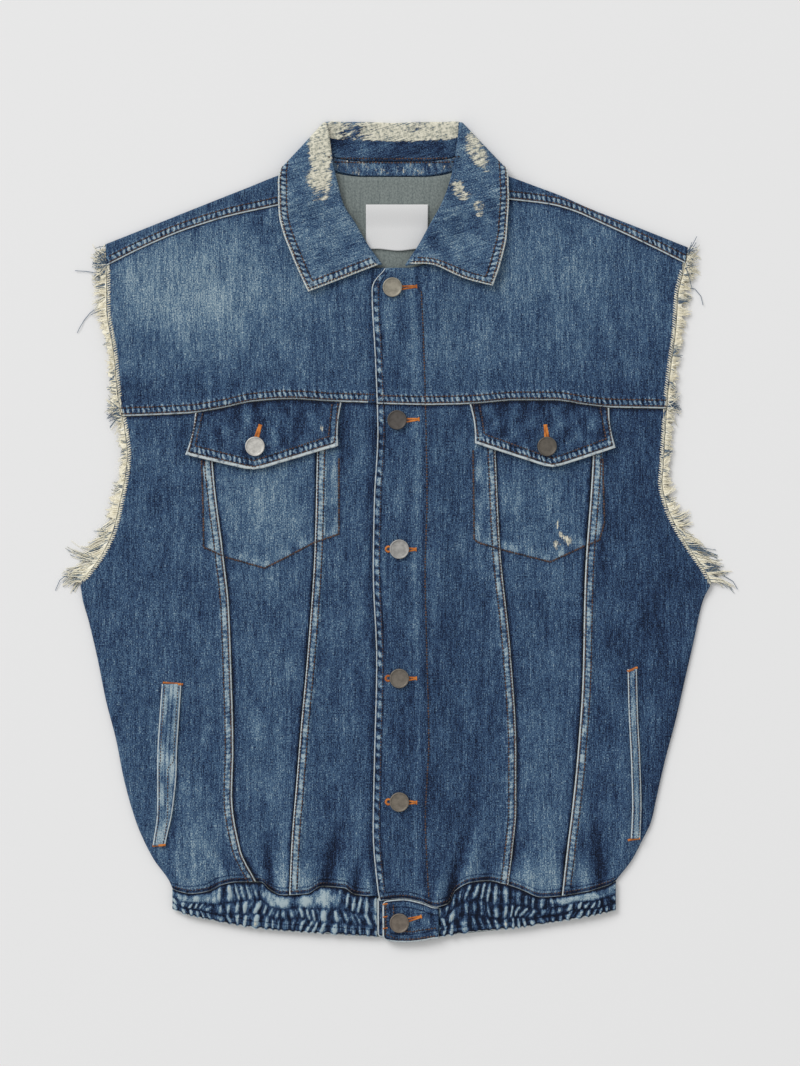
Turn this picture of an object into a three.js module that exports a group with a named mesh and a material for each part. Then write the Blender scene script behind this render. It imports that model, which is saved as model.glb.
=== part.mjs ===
// Sleeveless denim vest, laid flat on its back with the front buttoned.
// Millimetres. +X is the wearer's left, +Y points to the collar, +Z rises from the surface it lies on.
// The origin is on the flat underside of the back panel, level with the middle of the chest.
import * as THREE from "three";

const { lerp, smoothstep, degToRad, seededRandom } = THREE.MathUtils;

const gap = 0.3; // between pieces at a seam
const chordEase = 0.3; // added where two pieces follow one curved seam in steps of their own
const ply = 1.4; // one layer of denim
const doublePly = 2.6; // faced edges
const fellLift = 0.8; // a felled seam stands this far above the cloth
const fellWidth = 8.5;
const yokeFell = 9.5;
const centreX = -3; // the middle of the neck

// Edges and seams, each a short table of places along it.
const line = {
  armholeRight: {
    y: [251, 233, 197, 157, 117, 88, 68, 48, 28, 3, -17, -34, -44],
    x: [-253, -252, -252, -246, -242, -236, -234, -236, -240, -246, -255, -267, -275],
  },
  armholeLeft: {
    y: [246, 233, 207, 177, 147, 121, 108, 58, 44, 28, 8, -12, -34, -44],
    x: [252, 250, 244, 242, 238, 235, 234, 231, 230, 233, 241, 253, 268, 273],
  },
  sideRight: {
    y: [-44, -58, -76, -110, -145, -180, -215, -250, -267, -284, -302, -309],
    x: [-275, -273, -268, -260, -253, -244, -237, -227, -220, -211, -198, -195],
  },
  sideLeft: {
    y: [-44, -58, -93, -128, -163, -197, -232, -250, -267, -284, -302],
    x: [273, 266, 258, 250, 242, 233, 225, 221, 213, 204, 190],
  },
  shoulderFoldRight: { x: [-253, -104, -65], y: [248.5, 307.5, 322] },
  shoulderFoldLeft: { x: [60, 97, 140, 166, 203, 252], y: [321, 307, 291.5, 280, 265.5, 246] },
  shoulderSeamRight: { x: [-252, -224, -189, -145, -104, -67], y: [232, 246, 261, 275, 284, 292] },
  shoulderSeamLeft: {
    x: [61, 99, 133, 154, 179, 203, 227, 250],
    y: [293, 289, 285, 279, 268, 257, 245.5, 234],
  },
  neckBack: {
    x: [-65, -62, -54, -44, -28, 0, 23, 38, 48, 56, 60],
    y: [322, 317.6, 312.8, 310.4, 309, 309, 309, 310.4, 312.8, 318, 321],
  },
  neckRight: { x: [-67, -66, -62, -54, -42, -30, -16, 20], y: [292, 285, 269, 253, 241, 233, 230.5, 230.5] },
  neckLeft: { x: [-22, 10, 26, 37, 48, 56, 60, 61], y: [230, 230.5, 234, 241, 253, 269, 285, 293] },
  yokeSeamRight: {
    x: [-245, -179, -153, -124, -93, -54, -19, 20],
    y: [101, 104, 108, 114, 116, 114, 113, 112],
  },
  yokeSeamLeft: { x: [-20, 25, 64, 105, 135, 165, 185, 236], y: [112, 111, 112, 115, 115, 111, 109, 108] },
  outerSeamRight: {
    y: [112, 62, -17, -62, -111, -188, -228, -274, -304],
    x: [-162, -160, -151, -146, -144, -142, -143, -136, -122],
  },
  innerSeamRight: {
    y: [116, 70, -12, -102, -168, -218, -268, -313],
    x: [-69, -70, -72, -78, -84, -88, -92, -94],
  },
  innerSeamLeft: { y: [114, 72, -12, -102, -188, -238, -274, -306], x: [84, 86, 90, 99, 104, 104, 101, 97] },
  outerSeamLeft: {
    y: [112, 68, -42, -128, -188, -238, -278, -315],
    x: [171, 170, 163, 161, 157, 152, 147, 143],
  },
  placketEdge: {
    y: [231, 211, 149, 88, 28, -32, -111, -198, -258, -308, -320],
    x: [-22, -22, -19, -17, -20, -21, -18, -20, -21, -17, -15],
  },
  underlapEdge: { y: [230.5, 112, -320], x: [20, 20, 21] },
  // The body blouses unevenly over the hem band.
  hemSeamRight: {
    x: [-195, -190, -179, -164, -151, -140, -118, -110, -100, -78, -66, -46, -36, -17, 21],
    y: [-309, -311, -313, -311, -305, -303, -303, -310, -314, -313, -307, -308, -314, -315, -316],
  },
  hemSeamLeft: {
    x: [-15, 5, 21, 33, 44, 51, 65, 79, 95, 109, 125, 141, 161, 185, 190],
    y: [-319, -317, -320, -324, -322, -310, -303, -302, -305, -310, -316, -315, -312, -305, -302],
  },
  hemEdgeRight: {
    x: [-198, -196, -159, -131, -97, -63, -35, -17],
    y: [-320, -326, -337, -342, -346, -348, -350, -351],
  },
  hemEdgeLeft: { x: [36, 65, 105, 145, 177, 191, 193], y: [-351, -347, -343, -337, -331, -327, -319] },
  hemSeamBack: { x: [-197, -120, 0, 120, 190], y: [-302, -310, -314, -310, -302] },
  hemEdgeBack: { x: [-198, -131, 0, 131, 192], y: [-320, -341, -351, -339, -319] },
  weltRight: { y: [-131, -160, -198, -240, -271], x: [-204, -206, -208, -208, -212] },
  weltLeft: { y: [-118, -158, -198, -238, -265], x: [208, 209, 211, 212, 211] },
  // The lower edge of the collar where it lies against the outside of the back.
  leafBack: { x: [-101, -84, -63, -32, 27, 57, 79, 95], y: [307, 300, 295, 292, 292, 295, 300, 307] },
};

// Soft folds of the front: ridges above zero, hollows below.
const folds = [
  { hemX: -171, topX: -176, topY: -190, height: 1.8, width: 14 },
  { hemX: -128, topX: -120, topY: -150, height: -0.6, width: 15 },
  { hemX: -92, topX: -88, topY: -170, height: 2.0, width: 13 },
  { hemX: -56, topX: -50, topY: -120, height: -0.6, width: 14 },
  { hemX: -27, topX: -34, topY: -190, height: 1.4, width: 10 },
  { hemX: 72, topX: 60, topY: -130, height: -0.5, width: 14 },
  { hemX: 133, topX: 124, topY: -150, height: 2.0, width: 16 },
  { hemX: 198, topX: 200, topY: -80, height: 1.6, width: 7 },
];

const leafPly = 2; // the collar is two layers, pressed and topstitched
const legGap = 0.3; // between the collar's two legs
// The collar in sections from the middle of the back to each front point. roll is where it turns over, edge
// its outer edge, neck where it meets the body, and turn is -1 behind the neck, 0 at its side, 1 on the front.
const collarRight = {
  turn: [-1, -1, -1, -1, -0.55, 0, 0.55, 1, 1, 1, 1, 1, 1, 1],
  rollX: [-3, -28, -45, -56, -62, -63, -62, -60, -57, -53, -48, -38, -27, -15],
  rollY: [354, 355, 355, 355.5, 355, 354, 352, 346, 322, 303, 284, 268, 249, 233],
  edgeX: [-3, -32, -63, -83, -95, -97, -100, -103, -103, -102.5, -99, -93, -85, -77],
  edgeY: [292, 292, 295, 301, 312, 314, 311, 300, 288, 276, 261, 245, 226, 209],
  neckX: [-3, -28, -44, -54, -61, -64.3, -65.5, -66, -65.7, -64.2, -60.7, -52, -38, -21],
  neckY: [309.5, 309.5, 311.5, 314, 319, 320, 318, 308, 294, 282, 270.3, 254.5, 241.2, 232.8],
};
const collarLeft = {
  turn: collarRight.turn,
  rollX: [-3, 22, 39, 50, 55, 56, 55, 54, 51, 47, 41, 30, 20, 9],
  rollY: [354, 355, 355, 355.5, 355, 354, 352, 345, 322, 303, 286, 266, 248, 232],
  edgeX: [-3, 27, 57, 76, 88.5, 91, 94, 96.5, 97, 96, 95, 92, 88, 83],
  edgeY: [292, 292, 295, 301, 312, 314, 311, 300, 287, 271, 256, 242, 228, 214],
  neckX: [-3, 22, 38, 48, 55, 58.3, 59.5, 60, 59.6, 58.3, 54.7, 46, 32.2, 15],
  neckY: [309.5, 309.5, 311.5, 314, 319, 320, 318, 308, 294, 282, 270.3, 254.5, 241.2, 232.8],
};

const buttonWidth = 17;
const placketButtons = [
  { x: -4, y: 213 },
  { x: 0, y: 98 },
  { x: 2, y: -14 },
  { x: 2, y: -126 },
  { x: 2, y: -233 },
];
const tabButton = { x: 2, y: -338 };

// Fringe: how far the loose yarns reach past the cut edge of an armhole.
const fringeReach = {
  y: [-44, -36, -22, -5, 15, 60, 100, 170, 205, 233, 251],
  reach: [26, 29, 23, 18, 12, 8, 9, 9, 13, 15, 10],
};
const strandWidth = 1.3;

// A smooth curve through a table's rows, read by one named column for another.
function curve(table, by, read) {
  const rows = table[by].map((at, i) => [at, table[read][i]]).sort((a, b) => a[0] - b[0]);
  const rise = rows.slice(1).map(([at, value], i) => (value - rows[i][1]) / (at - rows[i][0]));
  const slope = rows.map((_, i) => {
    const before = rise[Math.max(0, i - 1)];
    const after = rise[Math.min(rise.length - 1, i)];
    return before * after <= 0 ? 0 : (2 * before * after) / (before + after);
  });
  return (at) => {
    let i = 0;
    while (i < rows.length - 2 && at > rows[i + 1][0]) i++;
    const span = rows[i + 1][0] - rows[i][0];
    const t = (at - rows[i][0]) / span;
    if (t <= 0) return rows[i][1] + slope[i] * t * span;
    if (t >= 1) return rows[i + 1][1] + slope[i + 1] * (t - 1) * span;
    const h = t * t * (3 - 2 * t);
    return (
      lerp(rows[i][1], rows[i + 1][1], h) +
      span * (slope[i] * t * (1 - t) ** 2 - slope[i + 1] * t * t * (1 - t))
    );
  };
}
const xOn = (name) => curve(line[name], "y", "x");
const yOn = (name) => curve(line[name], "x", "y");

const sideX = { right: xOn("sideRight"), left: xOn("sideLeft") };
const hemY = { right: yOn("hemSeamRight"), left: yOn("hemSeamLeft") };
const leafBackY = yOn("leafBack");
const underarmY = -44;
const sideRound = 5; // how far in from the side the cloth starts to turn over it
const faceWidth = 43;

// How far in from the nearer side seam a place is, how much of the side's turn it takes and how far it curls.
function side(x, y) {
  const inset = Math.min(x - sideX.right(y), sideX.left(y) - x);
  const grows = smoothstep(underarmY - y, 0, 22);
  const reach = Math.min(1, Math.max(0, 1 - inset / sideRound));
  return {
    inset,
    turn: grows * (1 - smoothstep(inset, 0, sideRound)),
    curl: grows * (1 - Math.sqrt(1 - reach * reach)),
  };
}

// At the neck the cloth lies over the collar's back leaf, and beyond it falls to the surface.
const leafHalf = 99; // half the width of the collar's back leaf
const leafRise = 2.9;
function overLeaf(x, y) {
  const outside = Math.max(leafBackY(x) - y, Math.abs(x - centreX) - leafHalf);
  return leafRise * (1 - smoothstep(outside, 9, 28));
}

const sideZ = { back: 2, front: 2.3 }; // heights of the side seam's two edges
const underside = (x, y) => overLeaf(x, y) + sideZ.back * side(x, y).curl;

// The outer face of the front, which lies on the back.
function front(x, y) {
  const { inset, curl } = side(x, y);
  const hemAt = hemY[x < 0 ? "right" : "left"];
  const low = smoothstep(-150 - y, 0, 120) * smoothstep(inset, 4, 45);
  let z = 4.2 + 0.8 * (1 - (x / 280) ** 2) + 1.3 * low + overLeaf(x, y);
  for (const f of folds) {
    const hem = hemAt(f.hemX);
    const along = (y - hem) / (f.topY - hem);
    if (along > 1) continue;
    const off = (x - lerp(f.hemX, f.topX, along)) / f.width;
    z += f.height * Math.exp(-off * off) * (1 - smoothstep(along, 0.1, 1)) * smoothstep(inset, 2, 16);
  }
  z -= 1.2 * (1 - smoothstep(y - hemAt(x), 0, 12)) * low;
  return lerp(z, sideZ.front, curl);
}
// The wearer's left front laps over the right one at the middle.
const lap = doublePly + gap;
const faceOf = {
  right: front,
  left: (x, y) => front(x, y) + lap * (1 - smoothstep(x, 27, 62)),
};

// A closed wall from grids of points on its outer face. Each point has its outward normal n, its thickness t
// and how far its outer side is lifted. Points that coincide are joined, and free edges are closed by a rim.
function shell(grids) {
  const seen = new Map();
  const points = [];
  const faces = [];
  const add = (p) => {
    const key = [p.x, p.y, p.z].map((v) => v.toFixed(3)).join();
    if (!seen.has(key)) {
      seen.set(key, points.length);
      points.push(p);
    }
    return seen.get(key);
  };
  for (const grid of grids) {
    const ids = grid.map((row) => row.map(add));
    for (let j = 0; j < ids.length - 1; j++)
      for (let i = 0; i < ids[j].length - 1; i++) {
        const quad = [ids[j][i], ids[j][i + 1], ids[j + 1][i + 1], ids[j + 1][i]];
        const at = quad.map((id) => new THREE.Vector3(points[id].x, points[id].y, points[id].z));
        const across = at[2].clone().sub(at[0]).cross(at[3].clone().sub(at[1]));
        const outward = quad.reduce((sum, id) => sum.add(points[id].n), new THREE.Vector3());
        if (across.dot(outward) < 0) quad.reverse();
        faces.push([quad[0], quad[1], quad[2]], [quad[0], quad[2], quad[3]]);
      }
  }
  const position = [];
  for (const p of points) {
    const lifted = p.lift ?? 0;
    position.push(p.x + p.n.x * lifted, p.y + p.n.y * lifted, p.z + p.n.z * lifted);
    position.push(p.x - p.n.x * p.t, p.y - p.n.y * p.t, p.z - p.n.z * p.t);
  }
  const edges = new Map();
  const index = [];
  for (const face of faces) {
    index.push(...face.map((id) => 2 * id));
    index.push(...[...face].reverse().map((id) => 2 * id + 1));
    face.forEach((a, k) => {
      const b = face[(k + 1) % 3];
      if (!edges.delete(b + "," + a)) edges.set(a + "," + b, [a, b]);
    });
  }
  for (const [a, b] of edges.values())
    index.push(2 * b, 2 * a, 2 * a + 1, 2 * b, 2 * a + 1, 2 * b + 1);
  const geometry = new THREE.BufferGeometry();
  geometry.setAttribute("position", new THREE.Float32BufferAttribute(position, 3));
  geometry.setIndex(index);
  geometry.computeVertexNormals();
  return geometry;
}

// A patch between four edges, each a function from 0 to 1 to a place [x, y].
function patch({ bottom, top, left, right }) {
  return (u, v) =>
    [0, 1].map(
      (k) =>
        lerp(bottom(u)[k], top(u)[k], v) +
        lerp(left(v)[k], right(v)[k], u) -
        lerp(lerp(bottom(0)[k], bottom(1)[k], u), lerp(top(0)[k], top(1)[k], u), v),
    );
}
const byY = (xOf, from, to, shift = 0) => (v) => {
  const y = lerp(from, to, v);
  return [xOf(y) + shift, y];
};
const byX = (yOf, from, to, shift = 0) => (u) => {
  const x = lerp(from, to, u);
  return [x, yOf(x) + shift];
};
const steps = (count) => Array.from({ length: count + 1 }, (_, i) => i / count);
const up = new THREE.Vector3(0, 0, 1);

// A panel's outer points: turned outward where it rounds the side, and thicker where it is faced.
function clothPoint(x, y, z, { turnSide = 0, down = false, thick = ply, lift = 0 } = {}) {
  const tilt = turnSide ? side(x, y).turn * Math.PI * 0.5 : 0;
  const n = new THREE.Vector3(turnSide * Math.sin(tilt), 0, (down ? -1 : 1) * Math.cos(tilt));
  return { x, y, z, n, t: thick, lift };
}

const denim = { color: 0x3a5274, faded: 0x52687f, dark: 0x2c3e56 };
const vest = new THREE.Group();
function piece(name, geometry, color, roughness = 0.9, metalness = 0) {
  const mesh = new THREE.Mesh(geometry, new THREE.MeshStandardMaterial({ color, roughness, metalness }));
  mesh.name = name;
  vest.add(mesh);
  return mesh;
}

// A front panel. across and along are the places of its grid lines, fellSide the edge that carries a felled seam.
function frontPanel(name, hand, edges, across, along, options = {}) {
  const place = patch(edges);
  const face = faceOf[hand];
  const { fellSide, fellBottom, facedTo, sideTurn = 0, corner } = options;
  const grid = along.map((v) =>
    across.map((u) => {
      let [x, y] = place(u, v);
      if (corner && u === 0) x += corner(y);
      const width = edges.right(v)[0] - edges.left(v)[0];
      const fromFell = fellSide === "right" ? (1 - u) * width : u * width;
      const onFell = fellSide && fromFell <= fellWidth + 0.01;
      const lapped = hand === "right" && x > -24;
      const onYokeFell = fellBottom && !lapped && y - edges.bottom(u)[1] <= yokeFell + 0.01;
      return clothPoint(x, y, face(x, y), {
        turnSide: sideTurn,
        thick: facedTo?.(x, y) ? doublePly : ply,
        lift: onFell || onYokeFell ? fellLift : 0,
      });
    }),
  );
  piece(name, shell([grid]), options.color ?? denim.color);
  return grid;
}

// Grid lines with a pair close together where a felled seam's edge makes a step.
function withStep(lines, at, step) {
  const kept = lines.filter((v) => Math.abs(v - at) > step * 2.2 && Math.abs(v - at - step) > step * 2.2);
  return [...kept, at, at + step].sort((a, b) => a - b);
}

const seamY = { right: yOn("yokeSeamRight"), left: yOn("yokeSeamLeft") };
const fronts = {
  right: {
    sign: -1,
    armhole: xOn("armholeRight"),
    armholeAtYoke: -240,
    outer: xOn("outerSeamRight"),
    inner: xOn("innerSeamRight"),
    middle: xOn("underlapEdge"),
  },
  left: {
    sign: 1,
    armhole: xOn("armholeLeft"),
    armholeAtYoke: 234,
    outer: xOn("outerSeamLeft"),
    inner: xOn("innerSeamLeft"),
    middle: xOn("placketEdge"),
  },
};

// Where a seam that runs up the body meets one that runs across it.
function meet(xOf, yOf, startY) {
  let y = startY;
  for (let i = 0; i < 30; i++) y = yOf(xOf(y));
  return [xOf(y), y];
}

// Where the back panel's columns lie along each shoulder, on the fold and on the seam at the front.
const shoulders = {
  right: { fold: [-253, -65], seam: [-252, -67], stops: [-253, -228, -200, -172, -145, -120, -102, -85, -65] },
  left: { fold: [60, 252], seam: [61, 250], stops: [60, 78, 95, 114, 140, 168, 196, 224, 252] },
};
const shoulderSeamY = { right: yOn("shoulderSeamRight"), left: yOn("shoulderSeamLeft") };
const onShoulderSeam = (hand, foldX) => {
  const { fold, seam } = shoulders[hand];
  return lerp(seam[0], seam[1], (foldX - fold[0]) / (fold[1] - fold[0]));
};
// A line through points in order of x, straight between them.
function through(points) {
  return (x) => {
    let i = 0;
    while (i < points.length - 2 && x > points[i + 1].x) i++;
    const t = (x - points[i].x) / (points[i + 1].x - points[i].x);
    return lerp(points[i].y, points[i + 1].y, Math.min(1, Math.max(0, t)));
  };
}
const shoulderLine = (hand) =>
  through(
    shoulders[hand].stops.map((stop) => {
      const x = onShoulderSeam(hand, stop);
      return { x, y: shoulderSeamY[hand](x) };
    }),
  );

const bodyHem = { right: [], left: [] };
const cutEdge = { right: [], left: [] };
const columnOf = (grid, hand) => grid.map((row) => (hand === "right" ? row[0] : row.at(-1)));
for (const [hand, f] of Object.entries(fronts)) {
  const seam = seamY[hand];
  const hem = hemY[hand];
  const faced = (x) => (hand === "right" ? x > -24 : x < 24);

  // Yoke, from the yoke seam to the shoulder and the neck.
  const shoulder = shoulderLine(hand);
  const neck = yOn(hand === "right" ? "neckRight" : "neckLeft");
  const neckX = hand === "right" ? -67 : 61;
  const topY = (x) => (Math.abs(x) >= Math.abs(neckX) && x * f.sign > 0 ? shoulder(x) : neck(x)) - gap - 0.05;
  const tip = hand === "right" ? [-252, 232 - gap] : [250, 234 - gap];
  const end = hand === "right" ? [20, 230.2] : [-22, 229.7];
  const foot = [f.armhole(seam(f.armholeAtYoke)), seam(f.armholeAtYoke)];
  const centreFoot = [f.middle(112), seam(f.middle(112))];
  const [low, high] = hand === "right" ? [foot, centreFoot] : [centreFoot, foot];
  const [lowTop, highTop] = hand === "right" ? [tip, end] : [end, tip];
  const armSide = byY(f.armhole, foot[1], tip[1]);
  const middleSide = byY(f.middle, centreFoot[1], end[1]);
  const yokeEdges = {
    bottom: byX(seam, low[0], high[0]),
    top: byX(topY, lowTop[0], highTop[0]),
    left: hand === "right" ? armSide : middleSide,
    right: hand === "right" ? middleSide : armSide,
  };
  const stops =
    hand === "right"
      ? [-252, -226, -200, -174, -148, -122, -98, -80, -67, -66, -62, -54, -42, -30, -24.5, -23.5, -2, 20]
      : [-22, -12, 4, 22, 26, 37, 48, 56, 60, 61, 76, 94, 112, 132, 154, 178, 202, 226, 250];
  const yokeAcross = stops.map((x) => (x - stops[0]) / (stops.at(-1) - stops[0]));
  const yokeStep = yokeFell / 120;
  const yokeAlong = [0, yokeStep, yokeStep + 0.008, 0.22, 0.38, 0.55, 0.7, 0.84, 0.92, 1];
  const yoke = frontPanel(`front_yoke_${hand}`, hand, yokeEdges, yokeAcross, yokeAlong, {
    fellBottom: true,
    facedTo: faced,
    color: denim.faded,
    // The lapping front's top corner is rounded off.
    corner: hand === "left" ? (y) => 9 * smoothstep(y, 214, 231) ** 2 : null,
  });

  const yokeCut = columnOf(yoke, hand);

  // The three panels under it, side, middle and centre, joined by felled seams.
  const panels = [
    { name: "side_panel", from: null, to: f.outer, fell: true, columns: 7 },
    { name: "middle_panel", from: f.outer, to: f.inner, fell: false, columns: 6 },
    { name: "centre_panel", from: f.inner, to: f.middle, fell: true, columns: 7 },
  ];
  for (const p of panels) {
    const outerX = p.from ?? ((y) => (y > underarmY ? f.armhole(y) : sideX[hand](y)));
    const seamUnder = (x) => seam(x) - gap - chordEase;
    const a = p.from ? meet(outerX, seamUnder, 110) : [foot[0], foot[1] - gap - chordEase];
    const b = meet(p.to, seamUnder, 110);
    const sideEnd = line[hand === "right" ? "sideRight" : "sideLeft"];
    const c = p.from ? meet(outerX, hem, -310) : [sideEnd.x.at(-1), sideEnd.y.at(-1)];
    const d = meet(p.to, hem, -312);
    const inset = p.from ? -f.sign * (gap + chordEase) : 0;
    const outside = byY(outerX, c[1], a[1], inset);
    const inside = byY(p.to, d[1], b[1]);
    const edges = {
      bottom: byX(hem, c[0] + inset, d[0]),
      top: byX(seamUnder, a[0] + inset, b[0]),
      left: hand === "right" ? outside : inside,
      right: hand === "right" ? inside : outside,
    };
    if (hand === "left") {
      edges.bottom = byX(hem, d[0], c[0] + inset);
      edges.top = byX(seamUnder, b[0], a[0] + inset);
    }
    const width = Math.abs(d[0] - c[0]) * 0.5 + Math.abs(a[0] - b[0]) * 0.5;
    const fellAt = p.name === "side_panel" ? "inner" : "outer";
    const fellStep = fellWidth / width;
    let across = steps(p.columns);
    if (p.name === "side_panel") across = [0, 0.014, 0.045, ...across.slice(1)];
    if (p.fell) {
      across = fellAt === "inner"
        ? withStep(across.map((u) => 1 - u).reverse(), fellStep, 0.9 / width).map((u) => 1 - u).reverse()
        : withStep(across, fellStep, 0.9 / width);
    }
    if (p.name === "centre_panel") {
      const faceAt = 1 - faceWidth / width;
      across = withStep(across, faceAt - 0.005, 0.01);
    }
    if (hand === "left") across = across.map((u) => 1 - u).reverse();
    const cornerV = (underarmY - c[1]) / (a[1] - c[1]);
    let along = [0, 0.015, 0.04, 0.08, 0.13, 0.19, 0.27, 0.36, 0.46, 0.56, 0.66, 0.76, 0.88, 1];
    if (p.name === "side_panel") {
      along = along.filter((v) => Math.abs(v - cornerV) > 0.035);
      along = [...along, cornerV, cornerV - 0.03, cornerV - 0.06].sort((m, n) => m - n);
    }
    const grid = frontPanel(`${p.name}_${hand}`, hand, edges, across, along, {
      fellSide: p.fell ? ((fellAt === "inner") === (hand === "right") ? "right" : "left") : undefined,
      facedTo: p.name === "centre_panel" ? faced : undefined,
      sideTurn: p.name === "side_panel" ? f.sign : 0,
    });
    bodyHem[hand].push(...grid[0]);
    if (!p.from) cutEdge[hand].push(...columnOf(grid, hand).filter((q) => q.y > underarmY - 1));
  }
  bodyHem[hand].sort((m, n) => m.x - n.x);
  cutEdge[hand].push(...yokeCut);
}
// The line that the band is sewn along, point by point the body's own lower edge.
const hemLine = (hand) => through(bodyHem[hand]);

const backEdge = {};
// Back panel: one plain piece that turns over both shoulders to the seams on the front.
{
  const foldRight = yOn("shoulderFoldRight");
  const foldLeft = yOn("shoulderFoldLeft");
  const neck = yOn("neckBack");
  const topY = (x) => (x < -65 ? foldRight(x) : x > 60 ? foldLeft(x) : neck(x));
  const edgeX = (hand) => (y) => (y > underarmY ? fronts[hand].armhole(y) : sideX[hand](y));
  const stops = [...shoulders.right.stops, -62, -54, -44, -28, 0, 23, 38, 48, 56, ...shoulders.left.stops];
  const hemSpan = [line.hemSeamBack.x[0], line.hemSeamBack.x.at(-1)];
  const place = patch({
    bottom: byX(yOn("hemSeamBack"), ...hemSpan),
    top: byX(topY, -253, 252),
    left: byY(edgeX("right"), -302, 248.5),
    right: byY(edgeX("left"), -302, 246),
  });
  const across = stops.map((x) => (x + 253) / 505);
  const cornerV = (underarmY + 302) / 550;
  const along = [0, 0.04, 0.12, 0.28, cornerV - 0.035, cornerV, 0.55, 0.66, 0.8, 0.88, 0.92, 0.945, 0.965, 1];
  const nearSide = [0.004, 0.0095];
  const columns = [0, ...nearSide, ...across.slice(1, -1), ...nearSide.map((u) => 1 - u).reverse(), 1];
  const main = along.map((v) =>
    columns.map((u) => {
      const [x, y] = place(u, v);
      return clothPoint(x, y, underside(x, y), { turnSide: Math.sign(u - 0.5), down: true });
    }),
  );
  const last = main.at(-1);
  const wraps = [
    { hand: "right", cut: last.filter((p) => p.x <= -64.99), out: [-0.368, 0.93] },
    { hand: "left", cut: last.filter((p) => p.x >= 59.99), out: [0.354, 0.935] },
  ];
  const bulge = 2.3;
  const grids = wraps.map(({ hand, cut, out }) => {
    const rows = [cut];
    for (const angle of [-35, 20, 90]) {
      const turned = degToRad(angle);
      rows.push(
        cut.map((p) => {
          const z0 = p.z;
          const z1 = front(p.x, p.y);
          const bulged = bulge * Math.cos(turned);
          return {
            x: p.x + out[0] * bulged,
            y: p.y + out[1] * bulged,
            z: lerp(z0, z1, (1 + Math.sin(turned)) / 2),
            n: new THREE.Vector3(out[0] * Math.cos(turned), out[1] * Math.cos(turned), Math.sin(turned)),
            t: ply,
          };
        }),
      );
    }
    for (const [back, most, lift] of [[fellWidth + 1, 0.84, 0], [fellWidth, 0.72, fellLift], [0, 1, fellLift]])
      rows.push(
        cut.map((p) => {
          const x = onShoulderSeam(hand, p.x);
          const y = shoulderSeamY[hand](x);
          const length = Math.hypot(x - p.x, y - p.y);
          const share = Math.min(most, back / length);
          const px = lerp(x, p.x, share);
          const py = lerp(y, p.y, share);
          return clothPoint(px, py, front(px, py), { lift });
        }),
      );
    return rows;
  });
  piece("back_panel", shell([main, ...grids]), denim.color);
  for (const hand of ["right", "left"])
    backEdge[hand] = columnOf(main, hand).filter((q) => q.y > underarmY - 1);
}

// A point that lies on the front, raised clear of what it covers.
const on = (hand, x, y, under, thick, lift = 0) =>
  clothPoint(x, y, faceOf[hand](x, y) + under + thick, { thick, lift });

// Chest pocket flaps, pointed, sewn into the yoke seam.
const flaps = {
  right: { top: [-175, -48], side: [-183.5, -51], low: [68, 76], tip: [-124, 54], button: { x: -123, y: 75 } },
  left: { top: [63, 184], side: [67.5, 189.5], low: [78, 74], tip: [135, 56], button: { x: 130, y: 75 } },
};
for (const [hand, f] of Object.entries(flaps)) {
  const under = fellLift + gap + 0.1;
  const foot = (u) => {
    const tipU = (f.tip[0] - f.side[0]) / (f.side[1] - f.side[0]);
    const t = u < tipU ? u / tipU : (1 - u) / (1 - tipU);
    const edge = u < tipU ? f.low[0] : f.low[1];
    return [lerp(f.side[0], f.side[1], u), lerp(edge, f.tip[1], t)];
  };
  const tops = (u) => {
    const x = lerp(f.top[0], f.top[1], u);
    return [x, seamY[hand](x) - gap - 0.2];
  };
  const place = patch({
    bottom: foot,
    top: tops,
    left: (v) => [lerp(foot(0)[0], tops(0)[0], v), lerp(foot(0)[1], tops(0)[1], v)],
    right: (v) => [lerp(foot(1)[0], tops(1)[0], v), lerp(foot(1)[1], tops(1)[1], v)],
  });
  const tipU = (f.tip[0] - f.side[0]) / (f.side[1] - f.side[0]);
  const across = [0, 0.12, 0.3, tipU - 0.02, tipU + 0.02, 0.66, 0.84, 1];
  const grid = [0, 0.3, 0.65, 1].map((v) =>
    across.map((u) => {
      const [x, y] = place(u, v);
      return on(hand, x, y, under + 0.8 * (1 - v), 2.2);
    }),
  );
  piece(`pocket_flap_${hand}`, shell([grid]), denim.color);
}

// Side pocket welts.
for (const hand of ["right", "left"]) {
  const edge = xOn(hand === "right" ? "weltRight" : "weltLeft");
  const width = hand === "right" ? 17 : -8;
  const [y0, y1] = hand === "right" ? [-271, -131] : [-265, -118];
  const narrowing = (y) => (hand === "right" ? 6 * smoothstep(-y, 200, 272) : 0);
  const grid = steps(9).map((v) => {
    const y = lerp(y0, y1, v);
    return [0, 0.5, 1].map((u) => on(hand, edge(y) + u * (width - narrowing(y)), y, gap + 0.35, 1.4));
  });
  piece(`pocket_welt_${hand}`, shell([grid]), denim.faded);
}

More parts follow.
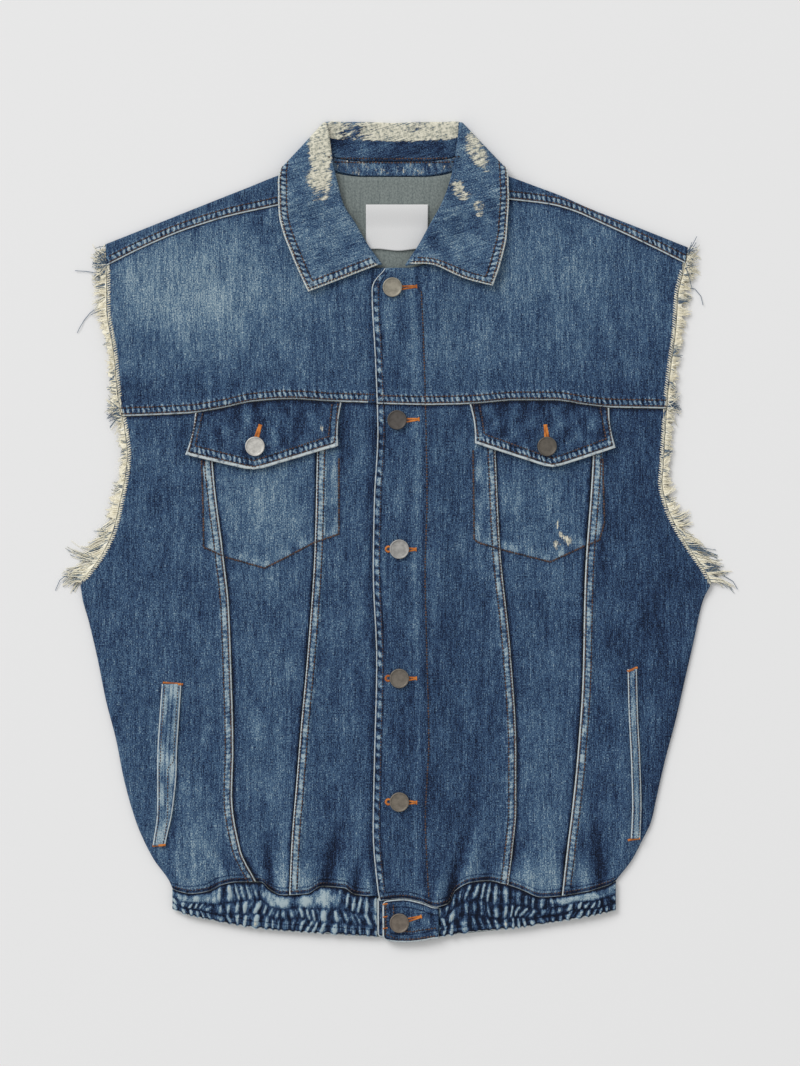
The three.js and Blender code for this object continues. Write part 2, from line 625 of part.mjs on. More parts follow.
// A length of hem band, drawn in by rows of stitching into channels of gathers. puff is how far each row of
// points stands out: least on a row of stitching, most in the middle of a channel.
const frontBand = {
  rows: [0, 0.17, 0.34, 0.5, 0.66, 0.83, 1],
  puff: [0.25, 1, 0.15, 1, 0.15, 1, 0.25],
  offset: [0, 0, 0, 1, 1, 0, 0], // the middle channel's gathers fall between the others
  height: 2,
  innerZ: 2.6,
};
const backBand = { rows: [0, 0.25, 0.5, 0.75, 1], puff: [0.3, 1, 0.2, 1, 0.3], height: 1, innerZ: 2.2 };
const bandFaceZ = (x) => 5.6 - 0.9 * smoothstep(Math.abs(x), 176, 196);
function hemBand(name, band, { top, bottom, from, to, waves }) {
  const down = band === backBand;
  const upper = byX(top, from, to, -gap);
  const lower = byX(bottom, from, to);
  const grid = band.rows.map((v, j) =>
    steps(waves * 2).map((u, i) => {
      const [x0, y0] = lower(u);
      const [x1, y1] = upper(u);
      const crest = (i + (band.offset?.[j] ?? 0)) % 2;
      const endFade = Math.min(1, Math.min(u, 1 - u) * 14);
      const wave = band.height * crest * band.puff[j] * endFade;
      const sway = 0.6 * Math.sin(i * 2.3 + j * 1.7) * endFade * Math.sin(Math.PI * v);
      const x = lerp(x0, x1, v) + sway;
      const z = down ? Math.max(0, band.height * endFade - wave) * 0.5 : bandFaceZ(x) + wave;
      return clothPoint(x, lerp(y0, y1, v), z, { down, thick: Math.abs(z - band.innerZ) });
    }),
  );
  piece(name, shell([grid]), denim.dark);
}
const bandEdge = (name) => yOn(`hemEdge${name}`);
hemBand("hem_band_right", frontBand, {
  top: hemLine("right"), bottom: bandEdge("Right"), from: -195, to: -17.4, waves: 24,
});
hemBand("hem_band_left", frontBand, {
  top: hemLine("left"), bottom: bandEdge("Left"), from: 36.4, to: 190, waves: 21,
});
hemBand("hem_band_back", backBand, {
  top: yOn("hemSeamBack"), bottom: bandEdge("Back"), from: -195, to: 190, waves: 30,
});

// The plain ends of the band, one lapped over the other.
const tabs = {
  right: { left: [-17, -351], right: [20, -350], z: 4.9, thick: 2.2 },
  left: { left: [-12.5, -353], right: [36, -351.5], z: 7.7, thick: 2.4 },
};
for (const [hand, t] of Object.entries(tabs)) {
  const seam = hemLine(hand);
  const grid = [0, 0.08, 0.5, 1].map((v) =>
    [0, 0.05, ...steps(8).slice(1)].map((u) => {
      const x = lerp(t.left[0], t.right[0], u);
      const topY = seam(x) - gap - 0.3;
      const dip = hand === "left" ? 2.6 * Math.sin(Math.PI * Math.min(1, u * 1.1)) : 0;
      const round = v === 0 && u === 0 ? 3 : 0;
      const bottomY = lerp(t.left[1], t.right[1], u) - dip + round;
      return clothPoint(x + (v === 0 && u === 0 ? 1.5 : 0), lerp(bottomY, topY, v), t.z, { thick: t.thick });
    }),
  );
  piece(`hem_tab_${hand}`, shell([grid]), denim.dark);
}

// The collar: a leg against the neck and a leg folded over it, joined at the roll.
const rollRadius = leafPly + legGap / 2;
const overFront = 4; // the leaf's outer face above the front's
const standShare = 0.7; // the share of the inner leg that belongs to the leaf, the rest is the stand
function collarSection(table, i, hand) {
  const turn = table.turn[i] * Math.PI * 0.5;
  const turned = (1 + Math.sin(turn)) / 2;
  const sign = hand === "right" ? -1 : 1;
  const roll = new THREE.Vector2(table.rollX[i], table.rollY[i]);
  const edge = new THREE.Vector2(table.edgeX[i], table.edgeY[i]);
  const neck = new THREE.Vector2(table.neckX[i], table.neckY[i]);
  const face = (x, y) => faceOf[hand](x, y) + overFront;
  const toEdge = edge.clone().sub(roll).normalize();
  const toNeck = neck.clone().sub(roll).normalize();
  const tip = toEdge.clone().add(toNeck).normalize().negate();
  // Square to a direction in plan, on the side away from the neck.
  const outOf = (d) => {
    const out = new THREE.Vector2(d.y, -d.x);
    return out.x * sign < 0 ? out.negate() : out;
  };
  const rollZ = lerp(rollRadius, face(roll.x, roll.y) - rollRadius, turned);
  const rollOut = outOf(tip.clone().negate());
  const side3 = new THREE.Vector3(rollOut.x * Math.cos(turn), rollOut.y * Math.cos(turn), Math.sin(turn));
  const roll3 = new THREE.Vector3(roll.x, roll.y, rollZ);
  const tip3 = new THREE.Vector3(tip.x, tip.y, 0);
  const outer = (share) => {
    const out = outOf(toEdge);
    const swell = lerp(rollRadius, 4, share) * Math.cos(turn);
    const x = lerp(roll.x, edge.x, share) + out.x * swell;
    const y = lerp(roll.y, edge.y, share) + out.y * swell;
    const n = new THREE.Vector3(out.x * Math.cos(turn), out.y * Math.cos(turn), Math.sin(turn));
    return { x, y, z: lerp(0, face(x, y), turned), n, t: leafPly };
  };
  const inner = (share) => {
    const inward = outOf(toNeck).negate();
    const small = lerp(rollRadius, 0.7, share) * Math.cos(turn);
    const x = lerp(roll.x, neck.x, share) + inward.x * small;
    const y = lerp(roll.y, neck.y, share) + inward.y * small;
    const n = new THREE.Vector3(inward.x * Math.cos(turn), inward.y * Math.cos(turn), -Math.sin(turn));
    return { x, y, z: lerp(2 * rollRadius, face(x, y) - 2 * rollRadius, turned), n, t: leafPly };
  };
  const rolled = (angle) => {
    const a = degToRad(angle);
    const n = side3.clone().multiplyScalar(Math.cos(a)).addScaledVector(tip3, Math.sin(a));
    const p = roll3.clone().addScaledVector(n, rollRadius);
    return { x: p.x, y: p.y, z: p.z, n, t: leafPly };
  };
  return { outer, inner, rolled, turn: table.turn[i], reach: roll.distanceTo(neck) };
}
{
  const sections = [];
  for (const [table, hand] of [[collarRight, "right"], [collarLeft, "left"]]) {
    const made = table.turn.map((_, i) => collarSection(table, i, hand));
    if (hand === "right") sections.push(...made.reverse());
    else sections.push(...made.slice(1));
  }
  const leaf = sections.map((s) => [
    ...[1, 0.84, 0.5, 0.2, 0].map((share) => s.outer(share)),
    ...[45, 90, 135].map((angle) => s.rolled(angle)),
    ...[0, 0.4, s.turn > 0 ? 1 - 0.3 / s.reach : standShare].map((share) => s.inner(share)),
  ]);
  piece("collar_leaf", shell([leaf]), denim.color);
  const stand = sections
    .filter((s) => s.turn <= 0)
    .map((s) => {
      const shares = [standShare + 0.4 / s.reach, (1 + standShare) / 2, 1 - 0.2 / s.reach];
      return shares.map((share) => s.inner(share));
    });
  piece("collar_stand", shell([stand]), denim.dark);
}

// The bare label inside the back neck.
{
  const size = { x0: -27, x1: 27, y0: 246, y1: 285 };
  const grid = steps(4).map((v) =>
    steps(5).map((u) => {
      const x = lerp(size.x0, size.x1, u);
      const y = lerp(size.y0, size.y1, v) + (v === 0 ? 0.8 * Math.sin(u * 9) : 0);
      return clothPoint(x, y, underside(x, y) + ply + gap + 1.5, { thick: 1 });
    }),
  );
  piece("neck_label", shell([grid]), 0xe8e8e6);
}

// Metal buttons: a flat disc with a raised rim on a short shank.
function button(name, { x, y }, z) {
  const r = buttonWidth / 2;
  const profile = [
    [0, 0], [0.42, 0], [0.42, 0.9], [1, 1.4], [1, 2.5], [0.92, 2.9], [0.84, 2.4], [0, 2.4],
  ].map(([share, height]) => new THREE.Vector2(share * r, height));
  const disc = new THREE.LatheGeometry(profile, 12);
  disc.rotateX(Math.PI / 2);
  const mesh = piece(name, disc, 0x8d8a86, 0.5, 0.9);
  mesh.position.set(x, y, z + gap);
}
const highest = (face, { x, y }, r) => {
  let top = face(x, y);
  for (let a = 0; a < 8; a++)
    top = Math.max(top, face(x + r * Math.cos((a * Math.PI) / 4), y + r * Math.sin((a * Math.PI) / 4)));
  return top;
};
placketButtons.forEach((at, i) => {
  button(`button_${i + 1}`, at, highest(faceOf.left, at, buttonWidth / 4));
});
button("button_6", tabButton, tabs.left.z);
for (const [hand, f] of Object.entries(flaps)) {
  const z = highest(faceOf[hand], f.button, buttonWidth / 4) + fellLift + gap + 0.1 + 2.2 + 0.6;
  button(`flap_button_${hand}`, f.button, z);
}

// Fringe: yarns pulled loose along each armhole, rooted in a narrow strip beside the cut edge.
const reachAt = curve(fringeReach, "y", "reach");
function fringe(name, hand, cut, { strands, zMid, half, lengthShare, salt }) {
  const { sign } = fronts[hand];
  seededRandom(salt);
  const path = cut.map((q) => new THREE.Vector2(q.x, q.y));
  const along = [0];
  for (let k = 1; k < path.length; k++) along.push(along[k - 1] + path[k].distanceTo(path[k - 1]));
  const total = along.at(-1);
  const at = (s) => {
    let k = 1;
    while (k < along.length - 1 && along[k] < s) k++;
    const p = path[k - 1].clone().lerp(path[k], (s - along[k - 1]) / (along[k] - along[k - 1]));
    const d = path[k].clone().sub(path[k - 1]).normalize();
    return { p, out: new THREE.Vector2(sign * d.y, -sign * d.x) };
  };
  const position = [];
  const index = [];
  const put = (x, y, z) => position.push(x, y, z) / 3 - 1;
  let before = null;
  const face = (a, b, c) => (sign < 0 ? index.push(a, b, c) : index.push(a, c, b));
  const section = (s) => {
    const { p, out } = at(s);
    const z = zMid(p.x, p.y);
    return [
      put(p.x + out.x * gap, p.y + out.y * gap, z),
      put(p.x + out.x * 2.2, p.y + out.y * 2.2, z + half),
      put(p.x + out.x * 2.2, p.y + out.y * 2.2, z - half),
    ];
  };
  const wallTo = (next, tip) => {
    for (const [a, b] of [[0, 1], [2, 0]]) {
      face(before[a], next[a], before[b]);
      face(before[b], next[a], next[b]);
    }
    if (tip === null) {
      face(before[1], next[1], before[2]);
      face(before[2], next[1], next[2]);
    } else {
      face(before[1], next[1], tip);
      face(next[1], next[2], tip);
      face(next[2], before[2], tip);
      face(before[2], before[1], tip);
    }
    before = next;
  };
  const pitch = total / (strands + 0.5);
  before = section(1);
  face(before[0], before[1], before[2]);
  for (let k = 0; k < strands; k++) {
    const middle = pitch * (k + 0.75) + pitch * 0.16 * (seededRandom() - 0.5);
    wallTo(section(middle - strandWidth / 2), null);
    const { p, out } = at(middle);
    const reach = reachAt(p.y) * lengthShare * (0.65 + 0.5 * seededRandom());
    const lean = 0.5 * (seededRandom() - 0.5);
    const tipX = p.x + (out.x - out.y * lean) * reach;
    const tipY = p.y + (out.y + out.x * lean) * reach;
    const tipZ = Math.max(0.5, zMid(p.x, p.y) * lerp(1, 0.55, Math.min(1, reach / 24)));
    wallTo(section(middle + strandWidth / 2), put(tipX, tipY, tipZ));
  }
  wallTo(section(total - 1), null);
  face(before[0], before[2], before[1]);
  const geometry = new THREE.BufferGeometry();
  geometry.setAttribute("position", new THREE.Float32BufferAttribute(position, 3));
  geometry.setIndex(index);
  geometry.computeVertexNormals();
  piece(name, geometry, 0xd8d3c0);
}
const topMiddle = (x, y) => front(x, y) - ply / 2;
const backMiddle = (x, y) => underside(x, y) + ply / 2;
const frontFringe = { strands: 52, zMid: topMiddle, half: 0.5, lengthShare: 1 };
const backFringe = { strands: 32, zMid: backMiddle, half: 0.45, lengthShare: 0.85 };
fringe("fringe_front_right", "right", cutEdge.right, { ...frontFringe, salt: 11 });
fringe("fringe_front_left", "left", cutEdge.left, { ...frontFringe, salt: 23 });
fringe("fringe_back_right", "right", backEdge.right, { ...backFringe, salt: 37 });
fringe("fringe_back_left", "left", backEdge.left, { ...backFringe, salt: 41 });

export default vest;
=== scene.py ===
import math
import random

import bmesh
import bpy
import numpy as np
from mathutils import Matrix, Vector
from mathutils.bvhtree import BVHTree


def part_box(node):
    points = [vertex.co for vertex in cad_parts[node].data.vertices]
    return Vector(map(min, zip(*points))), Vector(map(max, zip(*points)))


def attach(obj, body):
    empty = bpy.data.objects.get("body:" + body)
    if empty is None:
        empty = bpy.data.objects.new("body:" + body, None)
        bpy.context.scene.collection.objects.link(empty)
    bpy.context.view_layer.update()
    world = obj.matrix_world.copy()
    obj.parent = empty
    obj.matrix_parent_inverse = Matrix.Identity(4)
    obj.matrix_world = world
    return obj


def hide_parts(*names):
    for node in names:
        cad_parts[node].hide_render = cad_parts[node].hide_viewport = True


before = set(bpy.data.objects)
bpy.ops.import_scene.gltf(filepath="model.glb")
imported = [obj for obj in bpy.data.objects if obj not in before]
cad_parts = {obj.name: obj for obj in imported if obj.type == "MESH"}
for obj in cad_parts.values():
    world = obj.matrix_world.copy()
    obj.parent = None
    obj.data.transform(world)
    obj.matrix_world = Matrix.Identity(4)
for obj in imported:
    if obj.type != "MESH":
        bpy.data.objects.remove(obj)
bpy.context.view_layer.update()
print("frame loaded,", len(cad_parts), "nodes")

mm = 0.001  # the tables below are in millimetres, as the CAD's are
noSeam = 60.0  # the distance that stands for no seam nearby


# A table's rows as dictionaries, by the names of its columns.
def rowsOf(columns, *rows):
    return [dict(zip(columns.split(), row)) for row in rows]


def namedRows(columns, **rows):
    return {name: dict(zip(columns.split(), row)) for name, row in rows.items()}


def meshFrom(bm, name):
    mesh = bpy.data.meshes.new(name)
    bm.to_mesh(mesh)
    bm.free()
    return mesh


def smooth(mesh):
    for polygon in mesh.polygons:
        polygon.use_smooth = True


def addObject(name, data):
    obj = bpy.data.objects.new(name, data)
    bpy.context.collection.objects.link(obj)
    return obj


def writeVectors(mesh, name, values):
    mesh.attributes.new(name, "FLOAT_VECTOR", "POINT").data.foreach_set("vector", values.ravel())


# The cloth's layers and the CAD's sizes that every piece keeps to.
cloth = {
    "gap": 0.3,
    "chordEase": 0.3,
    "ply": 1.4,
    "doublePly": 2.6,
    "fellLift": 0.8,
    "fellWidth": 8.5,
    "yokeFell": 9.5,
    "centreX": -3,
    "underarmY": -44,
    "sideRound": 5,
    "leafHalf": 99,
    "leafRise": 2.9,
    "sideBack": 2,
    "sideFront": 2.3,
    "fine": 1.9,  # spacing of the grid on the front
    "coarse": 5,  # and on the back
}

lines = {
    "armholeRight": {
        "y": [251, 233, 197, 157, 117, 88, 68, 48, 28, 3, -17, -34, -44],
        "x": [-253, -252, -252, -246, -242, -236, -234, -236, -240, -246, -255, -267, -275],
    },
    "armholeLeft": {
        "y": [246, 233, 207, 177, 147, 121, 108, 58, 44, 28, 8, -12, -34, -44],
        "x": [252, 250, 244, 242, 238, 235, 234, 231, 230, 233, 241, 253, 268, 273],
    },
    "sideRight": {
        "y": [-44, -58, -76, -110, -145, -180, -215, -250, -267, -284, -302, -309],
        "x": [-275, -273, -268, -260, -253, -244, -237, -227, -220, -211, -198, -195],
    },
    "sideLeft": {
        "y": [-44, -58, -93, -128, -163, -197, -232, -250, -267, -284, -302],
        "x": [273, 266, 258, 250, 242, 233, 225, 221, 213, 204, 190],
    },
    "shoulderFoldRight": {"x": [-253, -104, -65], "y": [248.5, 307.5, 322]},
    "shoulderFoldLeft": {"x": [60, 97, 140, 166, 203, 252], "y": [321, 307, 291.5, 280, 265.5, 246]},
    "shoulderSeamRight": {
        "x": [-252, -224, -189, -145, -104, -67],
        "y": [232, 246, 261, 275, 284, 292],
    },
    "shoulderSeamLeft": {
        "x": [61, 99, 133, 154, 179, 203, 227, 250],
        "y": [293, 289, 285, 279, 268, 257, 245.5, 234],
    },
    "neckBack": {
        "x": [-65, -62, -54, -44, -28, 0, 23, 38, 48, 56, 60],
        "y": [322, 317.6, 312.8, 310.4, 309, 309, 309, 310.4, 312.8, 318, 321],
    },
    "neckRight": {
        "x": [-67, -66, -62, -54, -42, -30, -16, 20],
        "y": [292, 285, 269, 253, 241, 233, 230.5, 230.5],
    },
    "neckLeft": {
        "x": [-22, 10, 26, 37, 48, 56, 60, 61],
        "y": [230, 230.5, 234, 241, 253, 269, 285, 293],
    },
    "yokeSeamRight": {
        "x": [-245, -179, -153, -124, -93, -54, -19, 20],
        "y": [101, 104, 108, 114, 116, 114, 113, 112],
    },
    "yokeSeamLeft": {
        "x": [-20, 25, 64, 105, 135, 165, 185, 236],
        "y": [112, 111, 112, 115, 115, 111, 109, 108],
    },
    "outerSeamRight": {
        "y": [112, 62, -17, -62, -111, -188, -228, -274, -304],
        "x": [-162, -160, -151, -146, -144, -142, -143, -136, -122],
    },
    "innerSeamRight": {
        "y": [116, 70, -12, -102, -168, -218, -268, -313],
        "x": [-69, -70, -72, -78, -84, -88, -92, -94],
    },
    "innerSeamLeft": {
        "y": [114, 72, -12, -102, -188, -238, -274, -306],
        "x": [84, 86, 90, 99, 104, 104, 101, 97],
    },
    "outerSeamLeft": {
        "y": [112, 68, -42, -128, -188, -238, -278, -315],
        "x": [171, 170, 163, 161, 157, 152, 147, 143],
    },
    "placketRow": {
        "y": [211, 176, 122, 88, 28, -32, -111, -178, -248, -316],
        "x": [21, 22.6, 24.4, 25.2, 26, 24.4, 26, 27.6, 24.6, 27.6],
    },
    "placketEdge": {
        "y": [231, 211, 149, 88, 28, -32, -111, -198, -258, -308, -320],
        "x": [-22, -22, -19, -17, -20, -21, -18, -20, -21, -17, -15],
    },
    "underlapEdge": {"y": [230.5, 112, -320], "x": [20, 20, 21]},
    "hemSeamRight": {
        "x": [-195, -190, -179, -164, -151, -140, -118, -110, -100, -78, -66, -46, -36, -17, 21],
        "y": [-309, -311, -313, -311, -305, -303, -303, -310, -314, -313, -307, -308, -314, -315, -316],
    },
    "hemSeamLeft": {
        "x": [-15, 5, 21, 33, 44, 51, 65, 79, 95, 109, 125, 141, 161, 185, 190],
        "y": [-319, -317, -320, -324, -322, -310, -303, -302, -305, -310, -316, -315, -312, -305, -302],
    },
    "hemEdgeRight": {
        "x": [-198, -196, -159, -131, -97, -63, -35, -17],
        "y": [-320, -326, -337, -342, -346, -348, -350, -351],
    },
    "hemEdgeLeft": {
        "x": [36, 65, 105, 145, 177, 191, 193],
        "y": [-351, -347, -343, -337, -331, -327, -319],
    },
    "hemSeamBack": {"x": [-197, -120, 0, 120, 190], "y": [-302, -310, -314, -310, -302]},
    "hemEdgeBack": {"x": [-198, -131, 0, 131, 192], "y": [-320, -341, -351, -339, -319]},
    "weltRight": {"y": [-131, -160, -198, -240, -271], "x": [-204, -206, -208, -208, -212]},
    "weltLeft": {"y": [-118, -158, -198, -238, -265], "x": [208, 209, 211, 212, 211]},
    "leafBack": {"x": [-101, -84, -63, -32, 27, 57, 79, 95], "y": [307, 300, 295, 292, 292, 295, 300, 307]},
}

folds = rowsOf(
    "hemX topX topY height width",
    (-171, -176, -190, 1.8, 14), (-128, -120, -150, -0.6, 15), (-92, -88, -170, 2.0, 13),
    (-56, -50, -120, -0.6, 14), (-27, -34, -190, 1.4, 10), (72, 60, -130, -0.5, 14),
    (133, 124, -150, 2.0, 16), (198, 200, -80, 1.6, 7),
)

# Smaller creases that run up from the hem, each with its own length, width and depth.
creases = rowsOf(
    "hemX topX topY height width",
    (-188, -192, -262, 1.6, 4), (-160, -150, -268, -1.0, 4), (-146, -176, -252, 1.3, 5),
    (-124, -136, -272, -2.2, 5), (-109, -116, -244, -1.8, 4), (-98, -104, -285, 1.4, 3.5),
    (-78, -80, -268, 1.2, 5), (-62, -48, -240, -2.0, 4.5), (-48, -52, -276, 1.4, 3.5),
    (-36, -30, -262, -1.8, 4), (-24, -24, -286, 1.2, 3), (34, 44, -270, 1.6, 4), (46, 60, -252, -2.4, 4.5),
    (60, 84, -222, 1.5, 6), (80, 84, -268, -1.4, 4.5), (99, 97, -282, 1.2, 4), (116, 112, -258, 1.3, 5),
    (150, 136, -240, -1.6, 5), (166, 160, -280, 1.4, 4), (178, 170, -206, -1.6, 5),
)


def ease(t):
    t = np.clip(t, 0, 1)
    return t * t * (3 - 2 * t)


def ramp(value, low, high):
    return ease((value - low) / (high - low))


def mix(a, b, t):
    return a + (b - a) * t


# A soft hump of height 1 round a centre.
def hump(value, centre, width):
    return np.exp(-(((value - centre) / width) ** 2))


# A smooth curve through a table's places.
def curveThrough(at, value):
    order = np.argsort(at)
    at = np.array(at, float)[order]
    value = np.array(value, float)[order]
    rise = np.diff(value) / np.diff(at)
    before = np.r_[rise[0], rise]
    after = np.r_[rise, rise[-1]]
    total = np.where(before * after > 0, before + after, 1)
    slope = np.where(before * after > 0, 2 * before * after / total, 0)

    def read(place):
        place = np.asarray(place, float)
        i = np.clip(np.searchsorted(at, place) - 1, 0, len(at) - 2)
        span = at[i + 1] - at[i]
        t = (place - at[i]) / span
        s = np.clip(t, 0, 1)
        bend = span * (slope[i] * s * (1 - s) ** 2 - slope[i + 1] * s * s * (1 - s))
        past = span * (slope[i] * np.minimum(t, 0) + slope[i + 1] * np.maximum(t - 1, 0))
        return mix(value[i], value[i + 1], ease(s)) + bend + past

    return read


def xOn(name):
    return curveThrough(lines[name]["y"], lines[name]["x"])


def yOn(name):
    return curveThrough(lines[name]["x"], lines[name]["y"])


# Soft irregular unevenness of about unit height, with bumps of the given size.
def ripple(x, y, size, seed, stretch=1.0, count=9):
    dice = np.random.default_rng(seed)
    total = 0
    for _ in range(count):
        angle = dice.uniform(0, 2 * math.pi)
        rate = 2 * math.pi / size * dice.uniform(0.6, 1.6)
        along = x * math.cos(angle) + y * math.sin(angle) / stretch
        total = total + np.sin(rate * along + dice.uniform(0, 6.3))
    return total / math.sqrt(count / 2)


sideX = {"Right": xOn("sideRight"), "Left": xOn("sideLeft")}
hemY = {"Right": yOn("hemSeamRight"), "Left": yOn("hemSeamLeft")}
seamY = {"Right": yOn("yokeSeamRight"), "Left": yOn("yokeSeamLeft")}
leafBackY = yOn("leafBack")
placketX = xOn("placketEdge")
placketRowX = xOn("placketRow")


def sidePlace(x, y):
    inset = np.minimum(x - sideX["Right"](y), sideX["Left"](y) - x)
    grows = ramp(cloth["underarmY"] - y, 0, 22)
    reach = np.clip(1 - inset / cloth["sideRound"], 0, 1)
    return inset, grows * (1 - np.sqrt(1 - reach * reach))


def overLeaf(x, y):
    outside = np.maximum(leafBackY(x) - y, np.abs(x - cloth["centreX"]) - cloth["leafHalf"])
    return cloth["leafRise"] * (1 - ramp(outside, 9, 28))


def underside(x, y):
    return overLeaf(x, y) + cloth["sideBack"] * sidePlace(x, y)[1]


def foldsAt(x, y, inset, table):
    total = np.zeros_like(x)
    hemAtX = np.where(x < 0, hemY["Right"](x), hemY["Left"](x))
    for f in table:
        hem = hemY["Right" if f["hemX"] < 0 else "Left"](f["hemX"])
        along = (y - hem) / (f["topY"] - hem)
        off = (x - mix(f["hemX"], f["topX"], along)) / f["width"]
        fades = 1 - ramp(along, 0.1, 1)
        total += f["height"] * np.exp(-off * off) * fades * ramp(inset, 2, 16)
    return total, y - hemAtX


# The outer face of the front, with the cloth's unevenness added to the CAD's.
def front(x, y):
    x, y = np.asarray(x, float), np.asarray(y, float)
    inset, curl = sidePlace(x, y)
    low = ramp(-150 - y, 0, 120) * ramp(inset, 4, 45)
    z = 4.2 + 0.8 * (1 - (x / 280) ** 2) + 1.3 * low + overLeaf(x, y)
    large, toHem = foldsAt(x, y, inset, folds)
    z = z + large - 1.2 * (1 - ramp(toHem, 0, 12)) * low
    small, _ = foldsAt(x, y, inset, creases)
    calm = ramp(inset, 4, 20)
    z = z + small + calm * (0.22 * ripple(x, y, 46, 5) + 0.1 * ripple(x, y, 17, 6, stretch=2.2))
    return mix(z, cloth["sideFront"], curl)


def frontLeft(x, y):
    lap = cloth["doublePly"] + cloth["gap"]
    return front(x, y) + lap * (1 - ramp(x, 27, 62))


faceOf = {"Right": front, "Left": frontLeft}

# Where the denim is washed pale: soft patches, each with its centre, half width, half height and strength.
fadedPatches = rowsOf(
    "x y wide tall fade",
    (-186, 212, 60, 46, 0.30), (-120, 196, 48, 48, 0.10), (140, 228, 50, 42, 0.12), (60, 190, 30, 60, 0.05),
    (-114, 24, 46, 46, 0.25), (118, 24, 36, 38, 0.16), (66, 20, 12, 46, 0.06), (-62, 30, 10, 46, 0.08),
    (-118, -180, 20, 110, 0.10), (-176, -268, 32, 50, 0.07), (-213, -225, 14, 70, 0.05),
    (-100, -300, 40, 12, 0.10), (120, -296, 60, 14, 0.10), (126, -180, 20, 100, 0.05),
)
# Where the denim is darker, with the same columns. The wide patch over the wearer's left side is painted
# shade, darker away from the light. The narrow ones just past each flap's right-hand end, seen from above,
# are the flaps' painted shadows, and the thin upright one at x 117 is a crease's painted shadow. The others
# just make it darker.
darkAndShadedPatches = rowsOf(
    "x y wide tall fade",
    (225, -60, 52, 190, 0.14), (60, -160, 40, 160, 0.06), (8, -215, 26, 120, 0.10),
    (-200, 128, 60, 16, 0.06), (190, 126, 60, 20, 0.06), (248, 190, 16, 50, 0.08), (117, 38, 3.5, 24, 0.12),
    (-46, 88, 4.5, 20, 0.22), (194, 88, 4, 18, 0.14), (-136, 30, 3.5, 26, 0.07),
)
plainFade = 0.40


def patchesAt(x, y, table):
    total = 0
    for p in table:
        off = -(((x - p["x"]) / p["wide"]) ** 2) - ((y - p["y"]) / p["tall"]) ** 2
        total = total + p["fade"] * np.exp(off)
    return total


pocketRows = {
    "Right": {"x": [-169.7, -167.9, -167.9, -148.8, -114.8, -94, -73, -50.5, -50.5],
              "y": [66, 8.7, -12.2, -20.9, -30.5, -20, -8.7, -0.9, 66]},
    "Left": {"x": [66.1, 67, 69.6, 88.7, 133.1, 162.7, 175.7, 180.1, 178.4],
             "y": [72, -5.2, -7.8, -13.9, -25.2, -11.3, -6.1, 8.7, 64]},
}


# The pocket bags show through along their rows of stitching, as a paler band inside and a darker one outside.
def pocketWear(x, y):
    total = np.zeros_like(x)
    for rows in pocketRows.values():
        corners = list(zip(rows["x"], rows["y"]))
        off = np.full(x.shape, 99.0)
        for (x0, y0), (x1, y1) in zip(corners, corners[1:]):
            along = (x - x0) * (x1 - x0) + (y - y0) * (y1 - y0)
            t = np.clip(along / ((x1 - x0) ** 2 + (y1 - y0) ** 2), 0, 1)
            off = np.minimum(off, np.hypot(x - mix(x0, x1, t), y - mix(y0, y1, t)))
        floor = np.interp(x, rows["x"][1:-1], rows["y"][1:-1])
        inside = (x > rows["x"][1]) & (x < rows["x"][-1]) & (y > floor)
        streaky = 0.75 + 0.45 * ripple(x, y, 11, 26, stretch=3)
        paler, darker = 0.24 * streaky * hump(off, 3.5, 4), -0.13 * np.exp(-off / 4)
        total = total + np.where(inside, paler, darker)
    return total


def fadeAt(x, y):
    mottled = 0.020 * ripple(x, y, 50, 21) + 0.020 * ripple(x, y, 16, 22, stretch=2.5)
    inset, _ = sidePlace(x, y)
    raised = foldsAt(x, y, inset, folds)[0] * 0.5 + foldsAt(x, y, inset, creases)[0]
    # Paler on the ridges of the folds, where they wear, and darker in the hollows with painted shade.
    toned = np.clip(np.where(raised < 0, 0.23, 0.14) * raised, -0.44, 0.22)
    patches = patchesAt(x, y, fadedPatches) - patchesAt(x, y, darkAndShadedPatches)
    return plainFade + patches + mottled + toned + pocketWear(x, y)


# A cloth piece: a grid of across by along, shaped by a function that gives its places in millimetres and what
# the shader reads at each: cut (place in the flat cloth, as it lies unless said otherwise), wear and painted
# shade (fade, rub, tone, where fade and tone carry painted shade as well as wear) and seam (distance, run,
# weight).
def clothGrid(name, across, along, shape):
    bm = bmesh.new()
    bm.loops.layers.uv.new("cut")
    bmesh.ops.create_grid(bm, x_segments=len(across) - 1, y_segments=len(along) - 1, size=0.5, calc_uvs=True)
    mesh = meshFrom(bm, name)
    u, v = (a.ravel() for a in np.meshgrid(across, along))
    made = shape(u, v)
    made = {"cutX": made["x"], "cutY": made["y"], **made}
    place = np.stack([np.broadcast_to(made[k], u.shape) for k in ("x", "y", "z")], axis=1) * mm
    mesh.vertices.foreach_set("co", place.ravel())
    fillAttributes(mesh, u.shape, made)
    smooth(mesh)
    mesh.update()
    obj = addObject(name, mesh)
    rows = place.reshape(len(along), len(across), 3)
    wide = np.linalg.norm(np.diff(rows, axis=1), axis=2).sum(axis=1).max()
    tall = np.linalg.norm(np.diff(rows, axis=0), axis=2).sum(axis=0).max()
    flatSize[name] = {"flat": (wide, tall), "area": sum(polygon.area for polygon in mesh.polygons)}
    return obj


flatSize = {}  # what each piece measures, spread flat
attributeParts = {
    "cut": ("cutX", "cutY", "cutSeed"),
    "wear": ("fade", "rub", "tone"),
    "seam": ("edge", "run", "weight"),
}
attributeDefaults = {"fade": plainFade, "edge": noSeam}  # and 0 for the others


